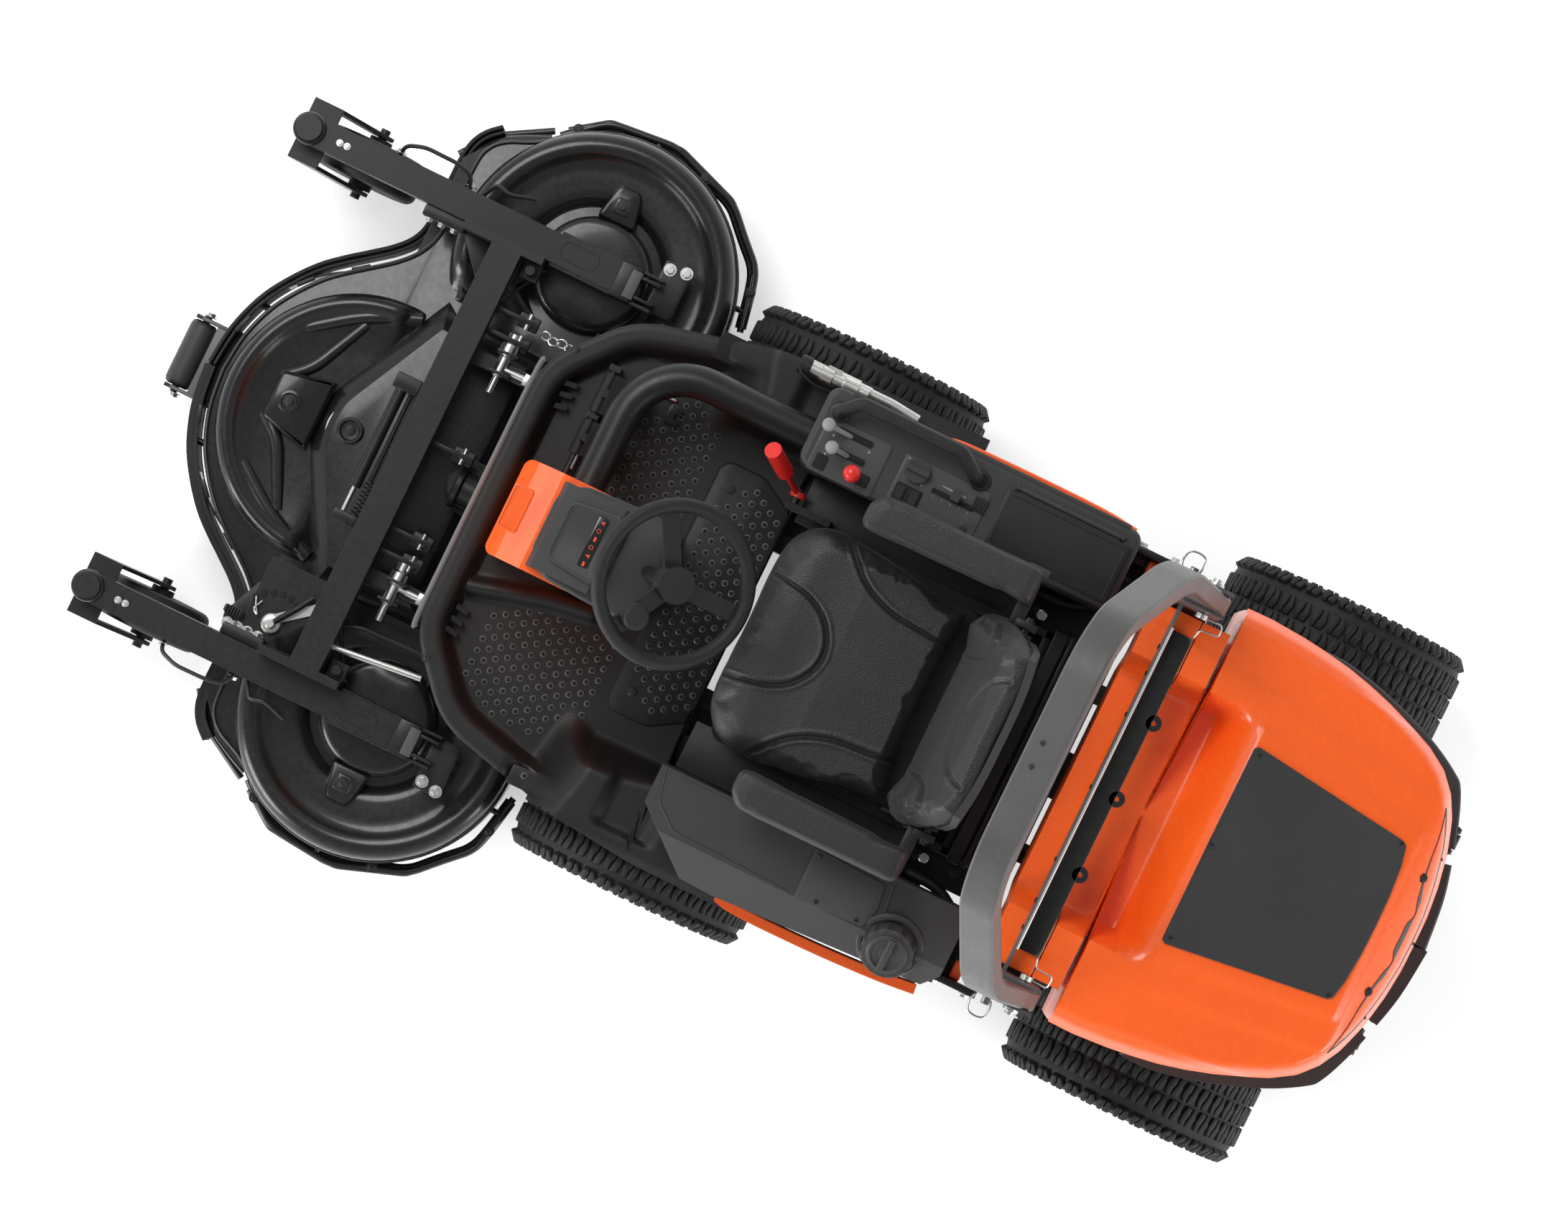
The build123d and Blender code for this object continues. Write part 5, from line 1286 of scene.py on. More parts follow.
def seat_back():
    form = Form()
    rings = []
    rows = [(676, 352, 176, 398, 10), (700, 350, 190, 404, 14), (760, 352, 208, 414, 24), (850, 362, 216, 430, 30),
            (950, 382, 208, 446, 28), (1040, 404, 194, 458, 22), (1085, 418, 180, 462, 16), (1105, 430, 165, 458,
                10)]
    for z, front, wide, rear, wing in rows:
        ring = []
        for i in range(25):
            t = -1 + 2 * i / 24
            x = wide * math.sin(t * math.pi / 2 * 0.98)
            y = front - wing * ease(abs(t), 0.45, 0.8) + 26 * ease(abs(t), 0.86, 1)
            ring.append((x, y, z))
        for i in range(13):
            t = 1 - 2 * i / 12
            ring.append((wide * 0.97 * t, rear - 6 * abs(t) ** 3, z))
        rings.append(ring)
    form.rings(rings)
    back = show("seat_back_cover", form, SEAT_VINYL, "backrest", 60)
    puffed(back, 0.006, 0.010)
    relax(back.data, 2)
    top = Vector((0, -0.8, 0.6)).normalized()
    arch = bend_pairs([(432, -108), (418, -104), (402, -92), (392, -70), (386, -35), (385, 0), (386, 35), (392, 70),
                       (402, 92), (418, 104), (432, 108)])
    creases = [bend_pairs([(352, s * 122), (368, s * 128), (377, s * 142), (379, s * 165), (376,
        s * 195)]) for s in (1, -1)]
    sew(back, [arch, *creases], 0.0040, 0.007, (0, 0.8, -0.6), top)
    for vertex in back.data.vertices:
        vertex.co.z = min(max(vertex.co.z, 0.672), 1.122)
    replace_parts(back, "seat_back")
    shell = Form()
    rings = []
    for z, wide, rear in ((700, 176, 412), (780, 192, 424), (900, 198, 444), (1000, 192, 462), (1080, 178, 472),
                          (1108, 160, 470)):
        rings.append([(wide * t, rear - 12 * abs(t) ** 3 + (0 if k else -14), z) for k, ts in
                      ((1, [1 - i / 8 for i in range(17)]), (0, [-1 + i / 8 for i in range(17)])) for t in ts])
    shell.rings(rings)
    show("seat_back_shell", shell, DARK_MOULDED, "backrest", 40)
    frame_form = Form()
    for hand in (1, -1):
        frame_form.slab(box_outline(hand * 196, hand * 204, 398, 438), 870, 925, 1.5)
        frame_form.turned((hand * 216, 392, 690), [(8, -19), (8, 0), (12, 2), (12, 8), (8, 10), (0,
            10)] if hand > 0 else
                          [(8, 19), (8, 0), (12, -2), (12, -8), (8, -10), (0, -10)], 20, "x")
        frame_form.turned((hand * 216, 420, 905), [(9, -hand * 20), (9, hand * 20), (0, hand * 20)], 20, "x")
    show("seat_back_carrier", frame_form, BLACK_COAT, "backrest", 40)
    strip_form = Form()
    strip_form.slab(rounded(box_outline(-245, 245, 486, 514), 4, 3), 640, 652, 1.5)
    strip_form.slab(box_outline(-245, 245, 518, 526), 626, 660, 1.5)
    show("seat_rear_bar", strip_form, BLACK_COAT, "chassis")


def armrests():
    for hand, name in ((1, "left"), (-1, "right")):
        outline = [(253, 62), (262, 54), (300, 54), (324, 74), (329, 120), (329, 395), (322, 408), (262, 410), (256,
            402),
                   (256, 345), (252, 330), (250, 200), (250, 80)]
        outline = [(hand * x, y) for x, y in outline]
        form = Form()
        form.rings([[(x, y, z) for x, y in inset(rounded(outline, 9, 3), d)] for d, z in
                    ((8, 921), (2, 925), (0, 934), (0, 948), (3, 957), (9, 962))])
        pad = show("armrest_pad_" + name, form, SEAT_VINYL, "armrest_" + name, 60)
        puffed(pad, 0.005, 0.003)
        relax(pad.data, 2)
        for vertex in pad.data.vertices:
            vertex.co.z = min(max(vertex.co.z, 0.9205), 0.966)
        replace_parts(pad, "armrest_" + name)
        stem = Form()
        stem.slab([(hand * x, y) for x, y in ((214, 385), (298, 385), (298, 411), (214, 411))], 906, 920, 1.5)
        stem.slab(box_outline(hand * 212, hand * 226, 398, 440), 886, 924, 2)
        stem.turned((hand * 226, 420, 905), [(13, 0), (13, hand * 5), (0, hand * 5)], 24, "x")
        show("armrest_stem_" + name, stem, BLACK_COAT, "armrest_" + name, 40)


seat_cushion()
seat_back()
armrests()

# ---------------------------------------------------------------- roll-over hoop

HOOP_LEAN = math.radians(13)
HOOP_FOOT = (695.6, 1105)


def on_hoop(x, rise, out):
    """A place on the leaning hoop: across, up along it, and out of its plane."""
    y = HOOP_FOOT[0] + out * math.cos(HOOP_LEAN) - rise * math.sin(HOOP_LEAN)
    return (x, y, HOOP_FOOT[1] + out * math.sin(HOOP_LEAN) + rise * math.cos(HOOP_LEAN))


def hoop():
    half = [(0, 849), (188, 849), (262, 800), (405, 424), (405, -33)]
    line = bend_corners([Vector((x, 0, z)) for x, z in half], 95, 8)
    full = [Vector((-p.x, 0, p.z)) for p in reversed(line)][:-1] + line
    form = Form()
    rings = []
    section = [(15, 33), (19, 29), (19, -29), (15, -33), (-15, -33), (-19, -29), (-19, 29), (-15, 33)]
    for i, p in enumerate(full):
        ahead = (full[min(i + 1, len(full) - 1)] - full[max(i - 1, 0)]).normalized()
        side = Vector((-ahead.z, 0, ahead.x))
        rings.append([on_hoop(p.x + side.x * a, p.z + side.z * a, b) for a, b in section])
    form.rings(rings)
    show("hoop_bar", form, HOOP_COAT, "rops_hoop", 30)
    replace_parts(bpy.data.objects["hoop_bar"], "rops_hoop")
    lip = Form()
    for b in (33, -33):
        inner = [on_hoop(p.x * 0.955, p.z - 21 if p.z > 840 else p.z - 8 * (p.z > 430), b * 0.92) for p in full]
        lip.tube(inner, 2.2, 8)
    show("hoop_weld_lines", lip, BLACK_COAT, "rops_hoop", 50)
    bolts("hoop_plug", PAN_SCREWS, [((x, *on_hoop(x, 868.5, -8)[1:]), (0, -0.22, 0.97), 5) for x in (-22, 22)],
        "rops_hoop")


def hoop_hardware():
    """Ring pins on the posts, wire clips, and the drilled bar between the posts."""
    rings = Form()
    for hand in (1, -1):
        loop = [(hand * 440, 628, 1040), (hand * 452, 622, 1046), (hand * 474, 626, 1052), (hand * 478, 644, 1052),
                (hand * 474, 662, 1050), (hand * 452, 664, 1044), (hand * 440, 660, 1040)]
        rings.tube(loop, 2.2, 10, 9)
        rings.tube([(hand * 424, 650, 1040), (hand * 448, 650, 1040)], 7.8, 16)
        clip = [(hand * 372, 700, 1090), (hand * 372, 740, 1090), (hand * 350, 742, 1086), (hand * 348, 706, 1080),
                (hand * 330, 702, 1078)]
        rings.tube(clip, 1.8, 8, 7)
        rings.tube([(hand * 376, HOOP_FOOT[0], 1105), (hand * 366, HOOP_FOOT[0], 1105)], 12, 20)
        rings.turned((hand * 431, HOOP_FOOT[0], 1105), [(15, 0), (15, hand * 8), (9, hand * 9), (9, hand * 15),
                                                         (0, hand * 16)], 24, "x")
    show("hoop_pins", rings, ZINC, "chassis", 40)
    bar = Form()
    flange = rounded([(-330, 662), (330, 662), (330, 707), (-330, 707)], [3, 3, 16, 16], 5)
    bar.slab(flange, 985, 992, 1)
    for x in (-157, 0, 157):
        bar.turned((x, HOOP_FOOT[0] + 14, 0), [(5, 985), (16, 985), (16, 991), (15, 992), (5, 992)], 28,
            closed=True)
    show("bar_flange", bar, BLACK_COAT, "chassis")
    edge = Form().tube([(-332, 661, 1026), (332, 661, 1026)], 4.2, 12)
    show("bar_bright_edge", edge, ZINC, "chassis")
    # Dark discs in the bar's drillings: painted shade for the holes.
    holes = []
    for i in (-290, -235, -150, 0, 150, 235, 290):
        for level in (1000, 1016):
            holes.append(((i, 655, level), (0, -1, 0), 4.5))
    bolts("bar_hole_shades", HOLE_DARKS, holes, "chassis")


hoop()
hoop_hardware()

# ---------------------------------------------------------------- hood

HOOD_SIDE = [(368, 712), (368, 768), (430, 770), (431, 830), (426, 900), (420, 950), (412, 1000), (400, 1050),
             (385, 1100), (366, 1150), (345, 1200), (318, 1243), (282, 1276), (240, 1300), (180, 1322), (110, 1336),
             (50, 1342), (0, 1343)]


def hood_height(x, y):
    x = abs(x)
    z = 1000 - 0.085 * max(0, y - 900) - 0.04 * max(0, 900 - y) - 16 * (x / 420) ** 2
    z -= 58 * ease(y, 1248, 1350) ** 1.4
    valley = (1 - ease(x, 216, 262)) * (1 - ease(y, 812, 893))
    z -= (z - 896 - 0.02 * (y - 612)) * valley
    z += 5 * (1 - ease(x, 232 - 0.11 * (y - 880), 240 - 0.11 * (y - 880))) * ease(y, 892, 900) * (1 - ease(y, 1250,
        1262))
    z += 4 * ease(x, 324 - 0.115 * (y - 760), 314 - 0.115 * (y - 760))
    z -= 7 * ease(x, 396 - 0.12 * max(0, y - 850), 402 - 0.12 * max(0, y - 850))
    reach = reach_inside(x, y, HOOD_SIDE[2:])
    z -= 42 * (1 - ease(reach, -6, 30)) ** 1.5
    return z


def hood_shell():
    """The moulded hood: a sheet that follows its rule, turned down all round."""
    form = Form()
    outline = HOOD_SIDE
    levels = []
    y = 712
    while y < 1338:
        levels.append(y)
        y += 6 if y > 1220 or 800 < y < 910 else 10
        if 758 < y < 775:
            y = 769
            levels.append(768)
    levels.append(1341.5)
    rows = []
    for y in levels:
        width = 8
        for (ax, ay), (bx, by) in zip(outline, outline[1:]):
            if min(ay, by) <= y <= max(ay, by) and abs(by - ay) > 2.5:
                width = max(width, ax + (bx - ax) * (y - ay) / (by - ay))
        width = 368 if y <= 768 else width
        rows.append([(width * math.sin(math.pi / 2 * i / 44), y) for i in range(-44, 45)])
    drops = [(0.99, 10), (0.995, 60), (0.99, 200), (0.985, 300)]
    points = []
    for row in rows:
        sheet = [(x, y, hood_height(x, y)) for x, y in row]
        left = [(sheet[0][0] * k, sheet[0][1], max(645, sheet[0][2] - d)) for k, d in reversed(drops)]
        right = [(sheet[-1][0] * k, sheet[-1][1], max(645, sheet[-1][2] - d)) for k, d in drops]
        points.append(left + sheet + right)
    tail = [(x * 0.995, y + 2.5, z if abs(z - 645) < 1 else max(645, z - 300)) for x, y, z in points[-1]]
    front_edge_points = [(x, y, z if abs(z - 645) < 1 else max(700, z - 45)) for x, y, z in points[0]]
    form.rings([front_edge_points, *points, tail], closed=False, caps=(False, False))
    cover = show("hood_moulding", form, HOOD_COAT, "hood", 50)
    wall = cover.modifiers.new("sheet_thickness", "SOLIDIFY")
    wall.thickness = 0.004
    wall.offset = -1
    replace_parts(cover, "hood")


def laid_on_hood(outline, lift, thick, form):
    """A plate that lies on the hood's crown, cut to an outline in plan."""
    bottom = [(x, y, hood_height(x, y) + lift - thick) for x, y in outline]
    edge = [(x, y, hood_height(x, y) + lift - 1) for x, y in outline]
    top = [(x, y, hood_height(x, y) + lift) for x, y in inset(outline, 1.2)]
    return form.rings([bottom, edge, top])


def hood_trim():
    half = [(0, 1249), (60, 1248), (120, 1243), (158, 1235), (164, 1226), (203, 906), (197, 898), (0, 897)]
    outline = [(x, y) for x, y in half] + [(-x, y) for x, y in reversed(half) if x > 0]
    plate = laid_on_hood(outline, 4.5, 10, Form())
    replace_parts(show("hood_cover_plate", plate, DARK_MOULDED, "hood", 30), "hood_plate")
    inner = smooth_line([(0, 1304), (28, 1304), (50, 1311), (80, 1302), (140, 1292), (200, 1286), (255, 1274)], 4)
    outer = smooth_line([(255, 1276), (200, 1302), (130, 1321), (60, 1332), (0, 1335)], 4)
    half = inner + outer
    strip_outline = half + [(-x, y) for x, y in reversed(half) if x > 0]
    tail = laid_on_hood(strip_outline, 2.5, 8, Form())
    show("tail_strip", tail, PALE_STRIP, "hood", 30)
    spots = [(x, y) for x, y in ((189, 912), (-189, 912), (157, 1225), (-157, 1225), (0, 905))]
    bolts("plate_screws", PAN_SCREWS, [((x, y, hood_height(x, y) + 4.3), UP, 5) for x, y in spots], "hood")
    tail_spots = [((x, 1292, hood_height(x, 1292) + 1), (0, 0.3, 1), 6) for x in (118, -118)]
    bolts("tail_bolts", DARK_BOLTS, tail_spots, "hood")
    small = [(165, 1312), (-165, 1312), (0, 1338)]
    bolts("tail_screws", PAN_SCREWS, [((x, y, hood_height(x, y) + 1.5), (0, 0.4, 1), 3.2) for x, y in small],
        "hood")


def tail_bumper():
    """The dark band round the tail, in three lengths with fine gaps."""
    half = [(432, 952), (430, 1018), (406, 1120), (368, 1222), (330, 1290), (307, 1312), (250, 1336), (184, 1356),
            (100, 1376), (0, 1386)]
    line = smooth_line(half, 5)
    form = Form()
    cut = next(i for i, (x, y) in enumerate(line) if x < 170)
    for hand in (1, -1):
        side_run = [(hand * x, y) for x, y in line[:cut - 1]]
        mid_run = [(hand * x, y) for x, y in line[cut:]]
        for run in (side_run, mid_run):
            strip(form, run, hand * 30, 0, 622, 712, 4)
    bumper = show("tail_bumper", form, DARK_MOULDED, "hood", 40)
    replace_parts(bumper, "rear_bumper")
    knuckles = Form()
    for hand in (1, -1):
        knuckles.turned((hand * 215, 1352, 598), [(6.2, -15), (13, -15), (13, 15), (6.2, 15)], 24, "x", closed=True)
        knuckles.slab(box_outline(hand * 201, hand * 229, 1338, 1358), 600, 640, 2)
    show("hood_knuckles", knuckles, BLACK_COAT, "hood")


PALE_STRIP = moulded("tail_strip_grey", (0.075, 0.075, 0.076), 0.45, scuff=1.2)
hood_shell()
hood_trim()
tail_bumper()


# ---------------------------------------------------------------- deck arms and beam


def plate(form, x0, x1, y0, y1, low, high, chamfer=1.5, corner=0):
    """A flat plate or block given by its two corners."""
    outline = box_outline(min(x0, x1), max(x0, x1), y0, y1)
    if corner:
        outline = rounded(outline, corner, 4)
    return form.slab(outline, low, high, chamfer)


def raised_line(form, outline, base, rise, width):
    """A fine raised bead that runs round an outline."""
    return form.rings([[(x, y, z) for x, y in inset(outline, d)] for d, z in
                       ((0, base), (0, base + rise * 0.6), (width * 0.3, base + rise), (width * 0.7, base + rise),
                        (width, base + rise * 0.6), (width, base))], caps=(False, False))


def coil(form, start, length, radius, wire, turns):
    """A coil spring that lies along X."""
    count = turns * 12
    path = [(start[0] + length * i / count, start[1] + radius * math.cos(math.tau * i / 12),
             start[2] + radius * math.sin(math.tau * i / 12)) for i in range(count + 1)]
    return form.tube(path, wire, 6)


def arm_details():
    steel = Form()
    pale = Form()
    nuts = []
    silver = []
    for hand in (1, -1):
        plate(steel, hand * 466, hand * 538, -590, -546, 268, 342, 3)
        plate(steel, hand * 533, hand * 539, -722, -588, 272, 326, 1.5)
        plate(steel, hand * 465, hand * 471, -722, -588, 272, 326, 1.5)
        plate(steel, hand * 478, hand * 485, -560, -500, 288, 338, 2)
        plate(steel, hand * 519, hand * 526, -560, -500, 288, 338, 2)
        plate(steel, hand * 470, hand * 580, -515, -456, 298, 305, 1.5, 8)
        plate(steel, hand * 447, hand * 472, -990, -900, 296, 328, 2, 5)
        # A pale strip over the top edge of the bracket: a painted highlight.
        plate(pale, hand * 473, hand * 531, -564, -542, 341, 344, 1)
        raised_line(steel, rounded(box_outline(min(hand * 487, hand * 526), max(hand * 487, hand * 526), -712,
            -630),
                                   19, 7), 334.8, 1.6, 2.2)
        steel.turned((hand * 502, -1262, 0), [(33, 262), (33, 341), (31, 345), (27, 346), (26, 344.5), (23, 344.5),
                                              (22, 347), (0, 347.5)], 48)
        steel.tube([(hand * 532, -1082, 302), (hand * 556, -1078, 316), (hand * 569, -1040, 322),
                    (hand * 568, -970, 322), (hand * 560, -936, 316), (hand * 530, -926, 306)], 4.2, 10, 14)
        steel.tube([(hand * 530, -900, 300), (hand * 566, -880, 318), (hand * 556, -850, 322),
                    (hand * 572, -800, 312)], 4.2, 10, 12)
        nuts += [((hand * 448, y, 313), (-hand, 0, 0), 9) for y in (-972, -945, -918)]
        nuts += [((hand * 539, y, 300), (hand, 0, 0), 8) for y in (-926, -1082)]
        silver += [((hand * 563, -500, 305), UP, 9), ((hand * 570, -467, 305), UP, 9)]
        silver += [((hand * 502, y, 335), UP, 5) for y in (-1196, -1180)]
    show("arm_brackets", steel, BLACK_COAT, "equipment_frame", 30)
    show("arm_edge_highlight_strips", pale, PALE_STRIP, "equipment_frame", 30)
    bolts("arm_nuts", HEX_BOLTS, nuts, "equipment_frame")
    bolts("arm_bolts", HEX_BOLTS, silver, "equipment_frame")


def beam_details():
    steel = Form()
    bright = Form()
    for hand in (1, -1):
        outline = [(hand * 456, -902), (hand * 462, -902), (hand * 462, -764), (hand * 456, -764)]
        steel.slab(outline, 272, 341, 1.5)
        steel.slab([(hand * 455, -834), (hand * 455, -905), (hand * 372, -834)], 300, 306, 1.5)
        steel.slab([(hand * 455, -774), (hand * 455, -716), (hand * 392, -774)], 300, 306, 1.5)
        bright.turned((hand * 250, -715, 352), [(6, -64), (13, -62), (13, -44), (18, -40), (19, -16), (12, -12),
                                                (12, 26), (7, 30), (7, 64)], 24, "x")
        bright.tube([(hand * 240, -718, 352), (hand * 240, -655, 352)], 8, 14)
        plate(bright, hand * 228, hand * 252, -664, -644, 340, 364, 2)
        plate(steel, hand * 226, hand * 232, -735, -690, 330, 378, 1.5)
        plate(steel, hand * 268, hand * 274, -735, -690, 330, 378, 1.5)
    for x in (-345, -298, -50, 137, 185):
        plate(steel, x - 5, x + 5, -806, -682, 332, 366, 2)
        plate(bright, x - 5.6, x + 5.6, -806, -792, 350, 366.5, 1)
        plate(steel, x - 15, x + 15, -726, -682, 332, 352, 2, 4)
        bright.tube([(x - 17, -704, 358), (x + 17, -704, 358)], 5, 12)
    steel.tube([(-118, -872, 352), (96, -872, 352)], 12, 20)
    bright.tube([(96, -872, 352), (152, -872, 352)], 5, 12)
    plate(steel, -148, -116, -892, -838, 334, 366, 2, 4)
    plate(steel, 148, 168, -888, -838, 334, 364, 2, 4)
    coil(steel, (74, -848, 352), 98, 8, 1.8, 11)
    steel.tube([(-116, -850, 350), (74, -848, 352)], 5, 12)
    steel.turned((5, -670, 300), [(30, -30), (46, -26), (46, -16), (34, -12), (34, 14), (22, 18), (22, 46)], 32,
        "y")
    plate_outline = rounded([(338, -958), (436, -1002), (462, -985), (458, -846), (360, -832)], 14, 5)
    steel.slab(plate_outline, 300, 305, 1)
    bright.turned((413, -905, 0), [(21, 304), (21, 308), (19, 309), (20, 311), (20, 314), (17, 316), (17, 319), (10,
        320),
                                   (10, 345), (8, 347), (0, 347)], 32)
    steel.tube([(413, -905, 326), (366, -872, 328), (330, -850, 324)], 6, 10, 10)
    bright.tube([(376, -955, 312), (392, -948, 318), (410, -936, 318), (400, -950, 318), (380, -940, 312)], 2, 8, 6)
    for i in range(6):
        plate(steel, 414, 431, -999 + 6 * i, -995.5 + 6 * i, 304, 330, 1)
    steel.tube([(422, -1002, 317), (422, -962, 317)], 7, 14)
    bright.tube([(400, -772, 352), (380, -588, 352)], 7.5, 20)
    steel.tube([(352, -772, 346), (341, -738, 350), (335, -598, 350)], 5, 12, 12)
    for i, (x, y) in enumerate(((-336, -662), (-332, -644), (-336, -626), (-333, -608))):
        ring = [(x + 8 * math.cos(a), y + 11 * math.sin(a), 346 + (3 if i % 2 else -3) * math.cos(a))
                for a in [math.tau * k / 14 for k in range(15)]]
        bright.tube(ring, 2, 8)
    show("beam_fittings", steel, BLACK_COAT, "equipment_frame", 30)
    show("beam_bright_parts", bright, ZINC, "equipment_frame", 35)
    spots = [((448, y, 306), UP, 8) for y in (-985, -963, -941, -919)]
    spots += [((x, -704, 352), UP, 6) for x in (-345, -298, -50, 137, 185)]
    spots += [((-30, y, 336), UP, 6) for y in (-790, -818)] + [((30, y, 336), UP, 6) for y in (-790, -818)]
    bolts("beam_bolts", HEX_BOLTS, spots, "equipment_frame")
    # Dark discs on the quadrant plate: painted shade for its holes.
    arc_holes = [((413 + 62 * math.cos(a), -905 + 62 * math.sin(a), 305), UP, 7)
                 for a in [math.radians(150 + 17 * k) for k in range(6)]]
    bolts("quadrant_hole_shades", HOLE_DARKS, arc_holes, "equipment_frame")


arm_details()
beam_details()

# ---------------------------------------------------------------- column, consoles, tank


CONSOLE_TOP = 850
LID_BLACK = moulded("console_lid_black", (0.010, 0.010, 0.011), 0.40, depth=0.5)


def column_head():
    """The dark head of the column that carries the wheel, over the orange shroud."""
    form = Form()
    outline = rounded([(-58, -484), (58, -484), (96, -446), (103, -345), (103, -242), (-103, -242), (-103, -345),
                       (-96, -446)], [14, 14, 20, 20, 24, 24, 20, 20], 5)
    form.rings([[(x, y, z) for x, y in inset(outline, d)] for d, z in ((2, 640), (0, 700), (0, 818), (3, 823),
                                                                     (8, 825))], caps=(False, True))
    show("column_head", form, PANEL_MOULDED, "chassis", 40)


def console_panels():
    """Switch panels, slots, scales and handle sockets on the right console."""
    top = CONSOLE_TOP
    grey = Form()
    grey.slab(rounded(box_outline(-417, -309, -86, 49), 7, 4), top - 1, top + 2.4, 0.8)
    grey.slab(rounded(box_outline(-417, -322, 77, 256), 7, 4), top - 1, top + 2.4, 0.8)
    show("switch_panels", grey, PALE_PANEL, "chassis", 30)
    # Dark slabs in the panel's slots: painted shade.
    dark = Form()
    for x0, x1, y0, y1 in ((-405, -395, -60, 12), (-367, -357, -60, 12), (-345, -315, -76, -51), (-345, -320, 8,
        36),
                           (-378, -371, 150, 236), (-362, -328, 84, 138)):
        dark.slab(rounded(box_outline(x0, x1, y0, y1), 4, 4), top + 2, top + 2.9, 0.2)
    show("panel_slot_shades", dark, HOLE_DARK, "chassis", 30)
    raised = Form()
    for x0, x1, y0, y1 in ((-407, -393, -62, 14), (-369, -355, -62, 14), (-380, -369, 148, 238)):
        raised_line(raised, rounded(box_outline(x0, x1, y0, y1), 6, 4), top + 2.2, 2.2, 2)
    for i in range(6):
        raised.slab(box_outline(-402, -373, 230 + 4.6 * i, 232.6 + 4.6 * i), top + 2, top + 7, 0.6)
    for y in (-70, 225):
        raised.turned((-430, y, 0), [(20, top - 4), (20, top + 3), (18, top + 6), (13, top + 7), (12, top + 3)], 32)
    raised.turned((-330, 232, 0), [(8, top), (8, top + 10), (6.5, top + 12), (0, top + 12)], 20)
    raised.turned((-395, 110, 0), [(25, top + 2), (25, top + 4), (22, top + 4.6), (20, top + 3)], 40)
    show("panel_raised_parts", raised, BLACK_COAT, "chassis", 30)
    marks = Form()
    marks.slab([(-391, 165), (-389, 165), (-385, 214), (-391, 214)], top + 2.2, top + 2.9, 0.1)
    for x, y in ((-386, -60), (-386, 10), (-348, -60), (-348, 8), (-410, 84), (-374, 126)):
        turn = 1 if y > -30 else -1
        marks.slab([(x - 3.5, y), (x + 3.5, y), (x, y + 6 * turn)], top + 2.2, top + 2.9, 0.1)
    for i in range(5):
        marks.slab(box_outline(-366, -362, 156 + 18 * i, 157.4 + 18 * i), top + 2.2, top + 2.9, 0.1)
    show("panel_marks", marks, PALE_MOULDED, "chassis", 30)
    lid = Form()
    lid.slab(rounded([(-441, 278), (-323, 278), (-323, 536), (-441, 536)], 9, 5), 858, 862.5, 1.5)
    raised_line(lid, rounded([(-434, 286), (-330, 286), (-330, 528), (-434, 528)], 8, 5), 862.3, 1.3, 2)
    show("lid_skin", lid, LID_BLACK, "console_lid", 30)
    latch = Form()
    latch.slab(rounded(box_outline(-334, -318, 376, 421), 5, 4), 858, 865, 1.5)
    show("lid_latch", latch, DARK_MOULDED, "console_lid", 30)
    edge = Form()
    long_edge = [(-474, -60), (-474, 520)]
    strip(edge, long_edge, -5, 5, 826, 848, 2)
    show("console_edge", edge, DARK_MOULDED, "chassis", 30)


TANK_TOP = 830
CAP_ROOT = (432, 455, 812)
CAP_LEAN = math.radians(24)


def lean_with_cap(points):
    """Points drawn round an upright cap, leaned outwards with it and moved to its root."""
    x0, y0, z0 = CAP_ROOT
    return [(x0 + x * math.cos(CAP_LEAN) + z * math.sin(CAP_LEAN), y0 + y, z0 - x * math.sin(CAP_LEAN) +
             z * math.cos(CAP_LEAN)) for x, y, z in points]


def tank_details():
    """Plate, creases and filler cap of the left console."""
    top = TANK_TOP
    skin = Form()
    skin.slab(rounded([(330, 250), (434, 250), (426, 394), (384, 404), (336, 396)], 7, 4), top - 1, top + 2.6, 0.8)
    show("tank_plate", skin, PALE_PANEL, "chassis", 30)
    bolts("tank_plate_screws", PAN_SCREWS, [((422, 292, top + 2.4), UP, 5), ((420, 375, top + 2.4), UP, 5),
                                           ((340, 262, top + 2.4), UP, 5)], "chassis")
    crease = Form()
    for line in ([(316, -72), (380, -58), (420, -10), (428, 236)], [(322, -40), (322, 240)],
                 [(330, 412), (384, 420), (398, 410)]):
        crease.tube([(x, y, top - 0.4) for x, y in line], 2.2, 8, 12)
    show("tank_creases", crease, DARK_MOULDED, "chassis", 50)
    cap = Form()
    teeth = []
    for i in range(12):
        for part, radius in ((0.0, 52), (0.28, 52), (0.36, 46.5), (0.62, 46.5), (0.70, 52)):
            a = math.tau * (i + part) / 12
            teeth.append((radius * math.cos(a), radius * math.sin(a)))
    cap.rings([[(x, y, z) for x, y in inset(teeth, d)] for d, z in ((0, 20), (0, 44), (2, 47), (4, 47.6))])
    cap.turned((0, 0, 0), [(40, 46), (39, 52), (36, 54), (31, 54), (30, 51.5), (14, 51.5), (13, 53.5), (0, 54)], 48)
    plate(cap, -36, 36, -7, 7, 50, 60, 3, 5)
    cap.points = lean_with_cap(cap.points)
    show("filler_cap_grip", cap, DARK_MOULDED, "fuel_cap", 35)
    collar = Form().turned((0, 0, 0), [(66, 2), (66, 8), (62, 12), (55, 12), (54, 6)], 48)
    collar.points = lean_with_cap(collar.points)
    show("filler_collar", collar, DARK_MOULDED, "chassis", 35)


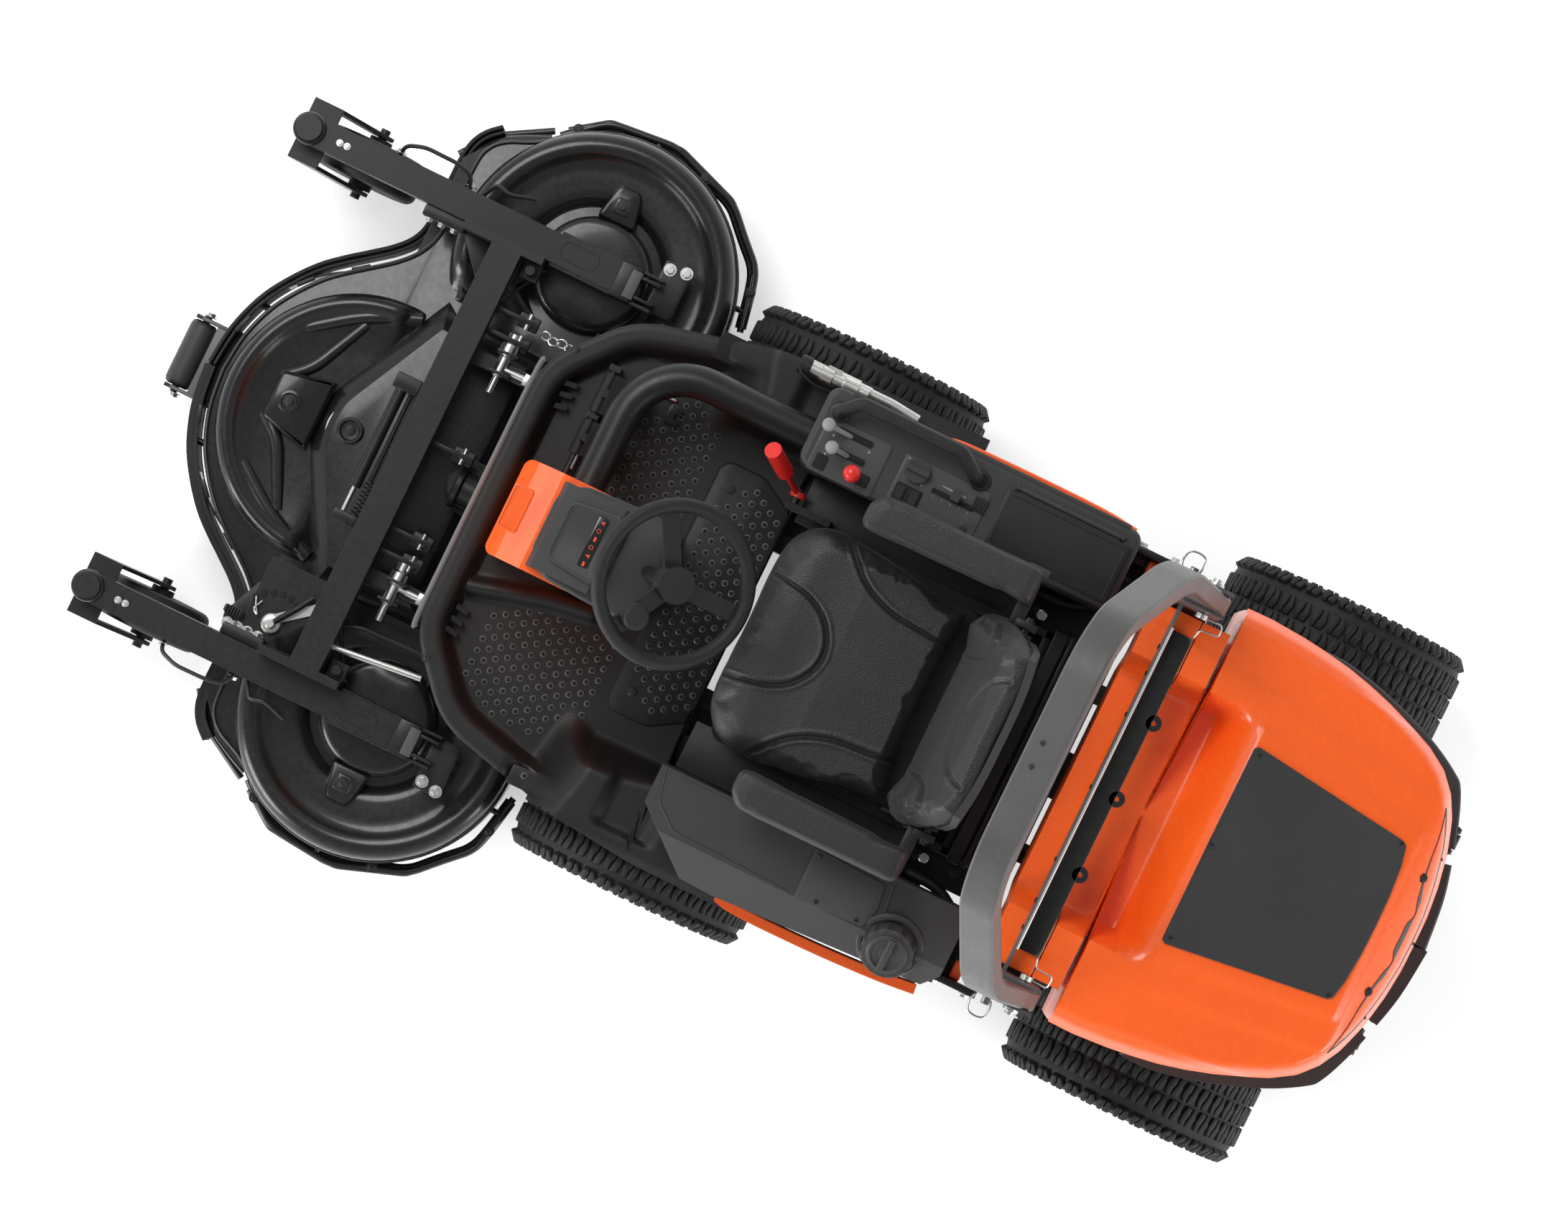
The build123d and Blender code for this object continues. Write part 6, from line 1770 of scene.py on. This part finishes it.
def side_strips_and_cowl():
    """Orange skins beside the consoles, and the fixed front of the hood's shape."""
    form = Form()
    right = smooth_line([(-478, 128), (-487, 170), (-490, 300), (-489, 460), (-482, 540)], 5)
    strip(form, right, -8, 6, 562, 660, 3)
    left = smooth_line([(500, 122), (508, 170), (508, 320), (502, 460), (494, 542)], 5)
    strip(form, left, 6, -8, 562, 660, 3)
    show("side_skins", form, ORANGE_TRIM, "chassis", 35)
    rows = []
    for y in (614, 616, 622, 634, 648, 662, 676, 690, 702, 708, 709.5):
        sheet = [(x, y, hood_height(x, y)) for x in [368 * math.sin(math.pi / 2 * i / 44) for i in range(-44, 45)]]
        ends = [(0.995, 60), (0.99, 200), (0.985, 300)]
        left_side = [(sheet[0][0] * k, y, max(612, sheet[0][2] - d)) for k, d in reversed(ends)]
        rows.append(left_side + sheet + [(sheet[-1][0] * k, y, max(612, sheet[-1][2] - d)) for k, d in ends])
    face = [(x, y, 612 if z < 613 else max(640, z - 150)) for x, y, z in rows[0]]
    cowl = show("front_cowl", Form().rings([face, *rows], closed=False, caps=(False, False)), HOOD_COAT, "chassis",
        50)
    wall = cowl.modifiers.new("sheet_thickness", "SOLIDIFY")
    wall.thickness = 0.004
    wall.offset = -1
    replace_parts(cowl, "side_panels")


def couplings():
    """Quick couplings beside the right console, with a dust cap and its strap."""
    bright = Form()
    bright.turned((-495, -100, 600), [(9, -62), (13, -60), (13, -40), (16, -38), (16, -14), (12, -12), (12, 8), (17,
        10),
                                      (17, 40), (11, 42), (11, 62)], 24, "y")
    bright.turned((-495, -100, 572), [(9, -52), (13, -50), (13, -30), (16, -28), (16, -4), (12, -2), (12, 40)], 24,
        "y")
    show("coupler_bodies", bright, ZINC, "chassis", 35)
    black = Form()
    black.turned((-495, -170, 600), [(17, -14), (19, -12), (19, 8), (12, 10)], 24, "y")
    black.tube([(-495, -182, 612), (-478, -176, 618), (-466, -140, 610), (-470, -104, 600)], 3, 8, 14)
    show("coupler_dust_cap", black, GRIP_RUBBER, "chassis", 40)


PALE_PANEL = moulded("switch_panel_grey", (0.055, 0.055, 0.056), 0.42, depth=0.2)
column_head()
console_panels()
tank_details()
side_strips_and_cowl()
couplings()

# ---------------------------------------------------------------- between the seat and the hoop


def service_floor():
    """Dark panels, frame rails, hoses and a harness behind and beside the seat."""
    steel = Form()
    plate(steel, -452, 300, 424, 612, 500, 506, 1.5)
    plate(steel, 372, 452, 424, 612, 500, 506, 1.5)
    plate(steel, 300, 372, 424, 470, 500, 506, 1.5)
    plate(steel, 300, 372, 560, 612, 500, 506, 1.5)
    for hand in (1, -1):
        plate(steel, hand * 214, hand * 312, -60, 424, 598, 604, 1.5)
        plate(steel, hand * 222, hand * 240, 400, 612, 560, 596, 3)
        plate(steel, hand * 430, hand * 452, 424, 612, 506, 600, 3)
        steel.tube([(hand * 300, 418, 575), (hand * 300, 500, 582), (hand * 340, 560, 580), (hand * 340, 616, 590)],
                   11, 14, 30)
        steel.tube([(hand * 380, 410, 570), (hand * 372, 480, 590), (hand * 400, 560, 572), (hand * 392, 616, 584)],
                   9, 14, 30)
    plate(steel, -240, 240, 596, 614, 560, 598, 3)
    plate(steel, -240, 240, 470, 490, 560, 596, 3)
    steel.tube([(-190, 410, 590), (-120, 480, 600), (20, 500, 604), (120, 560, 600), (180, 616, 596)], 12, 14, 40)
    steel.tube([(-230, 560, 600), (-60, 545, 612), (60, 560, 606), (230, 540, 600)], 7, 12, 30)
    show("service_floor", steel, BLACK_COAT, "chassis", 35)
    clips = Form()
    for x, y in ((-262, 590), (262, 590), (-262, 452), (262, 452)):
        clips.turned((x, y, 0), [(11, 506), (11, 512), (9, 514), (9, 520), (0, 520)], 20)
    show("floor_clips", clips, ZINC, "chassis", 35)
    bolts("service_bolts", DARK_BOLTS, [((x, y, 506), UP, 8) for x in (-420, -330, -262, 262, 410)
                                        for y in (440, 520, 596)], "chassis")


def hoop_feet():
    """Bolted plates and clips where the hoop's posts meet the frame."""
    steel = Form()
    trim = Form()
    for hand in (1, -1):
        plate(steel, hand * 448, hand * 462, 548, 652, 600, 660, 3, 0)
        plate(trim, hand * 410, hand * 446, 590, 612, 604, 628, 3, 4)
    show("hoop_feet", steel, BLACK_COAT, "chassis", 35)
    show("hoop_foot_tabs", trim, ORANGE_TRIM, "chassis", 35)
    spots = [((hand * 462, y, 632), (hand, 0, 0), 9) for hand in (1, -1) for y in (566, 634)]
    bolts("hoop_foot_bolts", HEX_BOLTS, spots, "chassis")


service_floor()
hoop_feet()
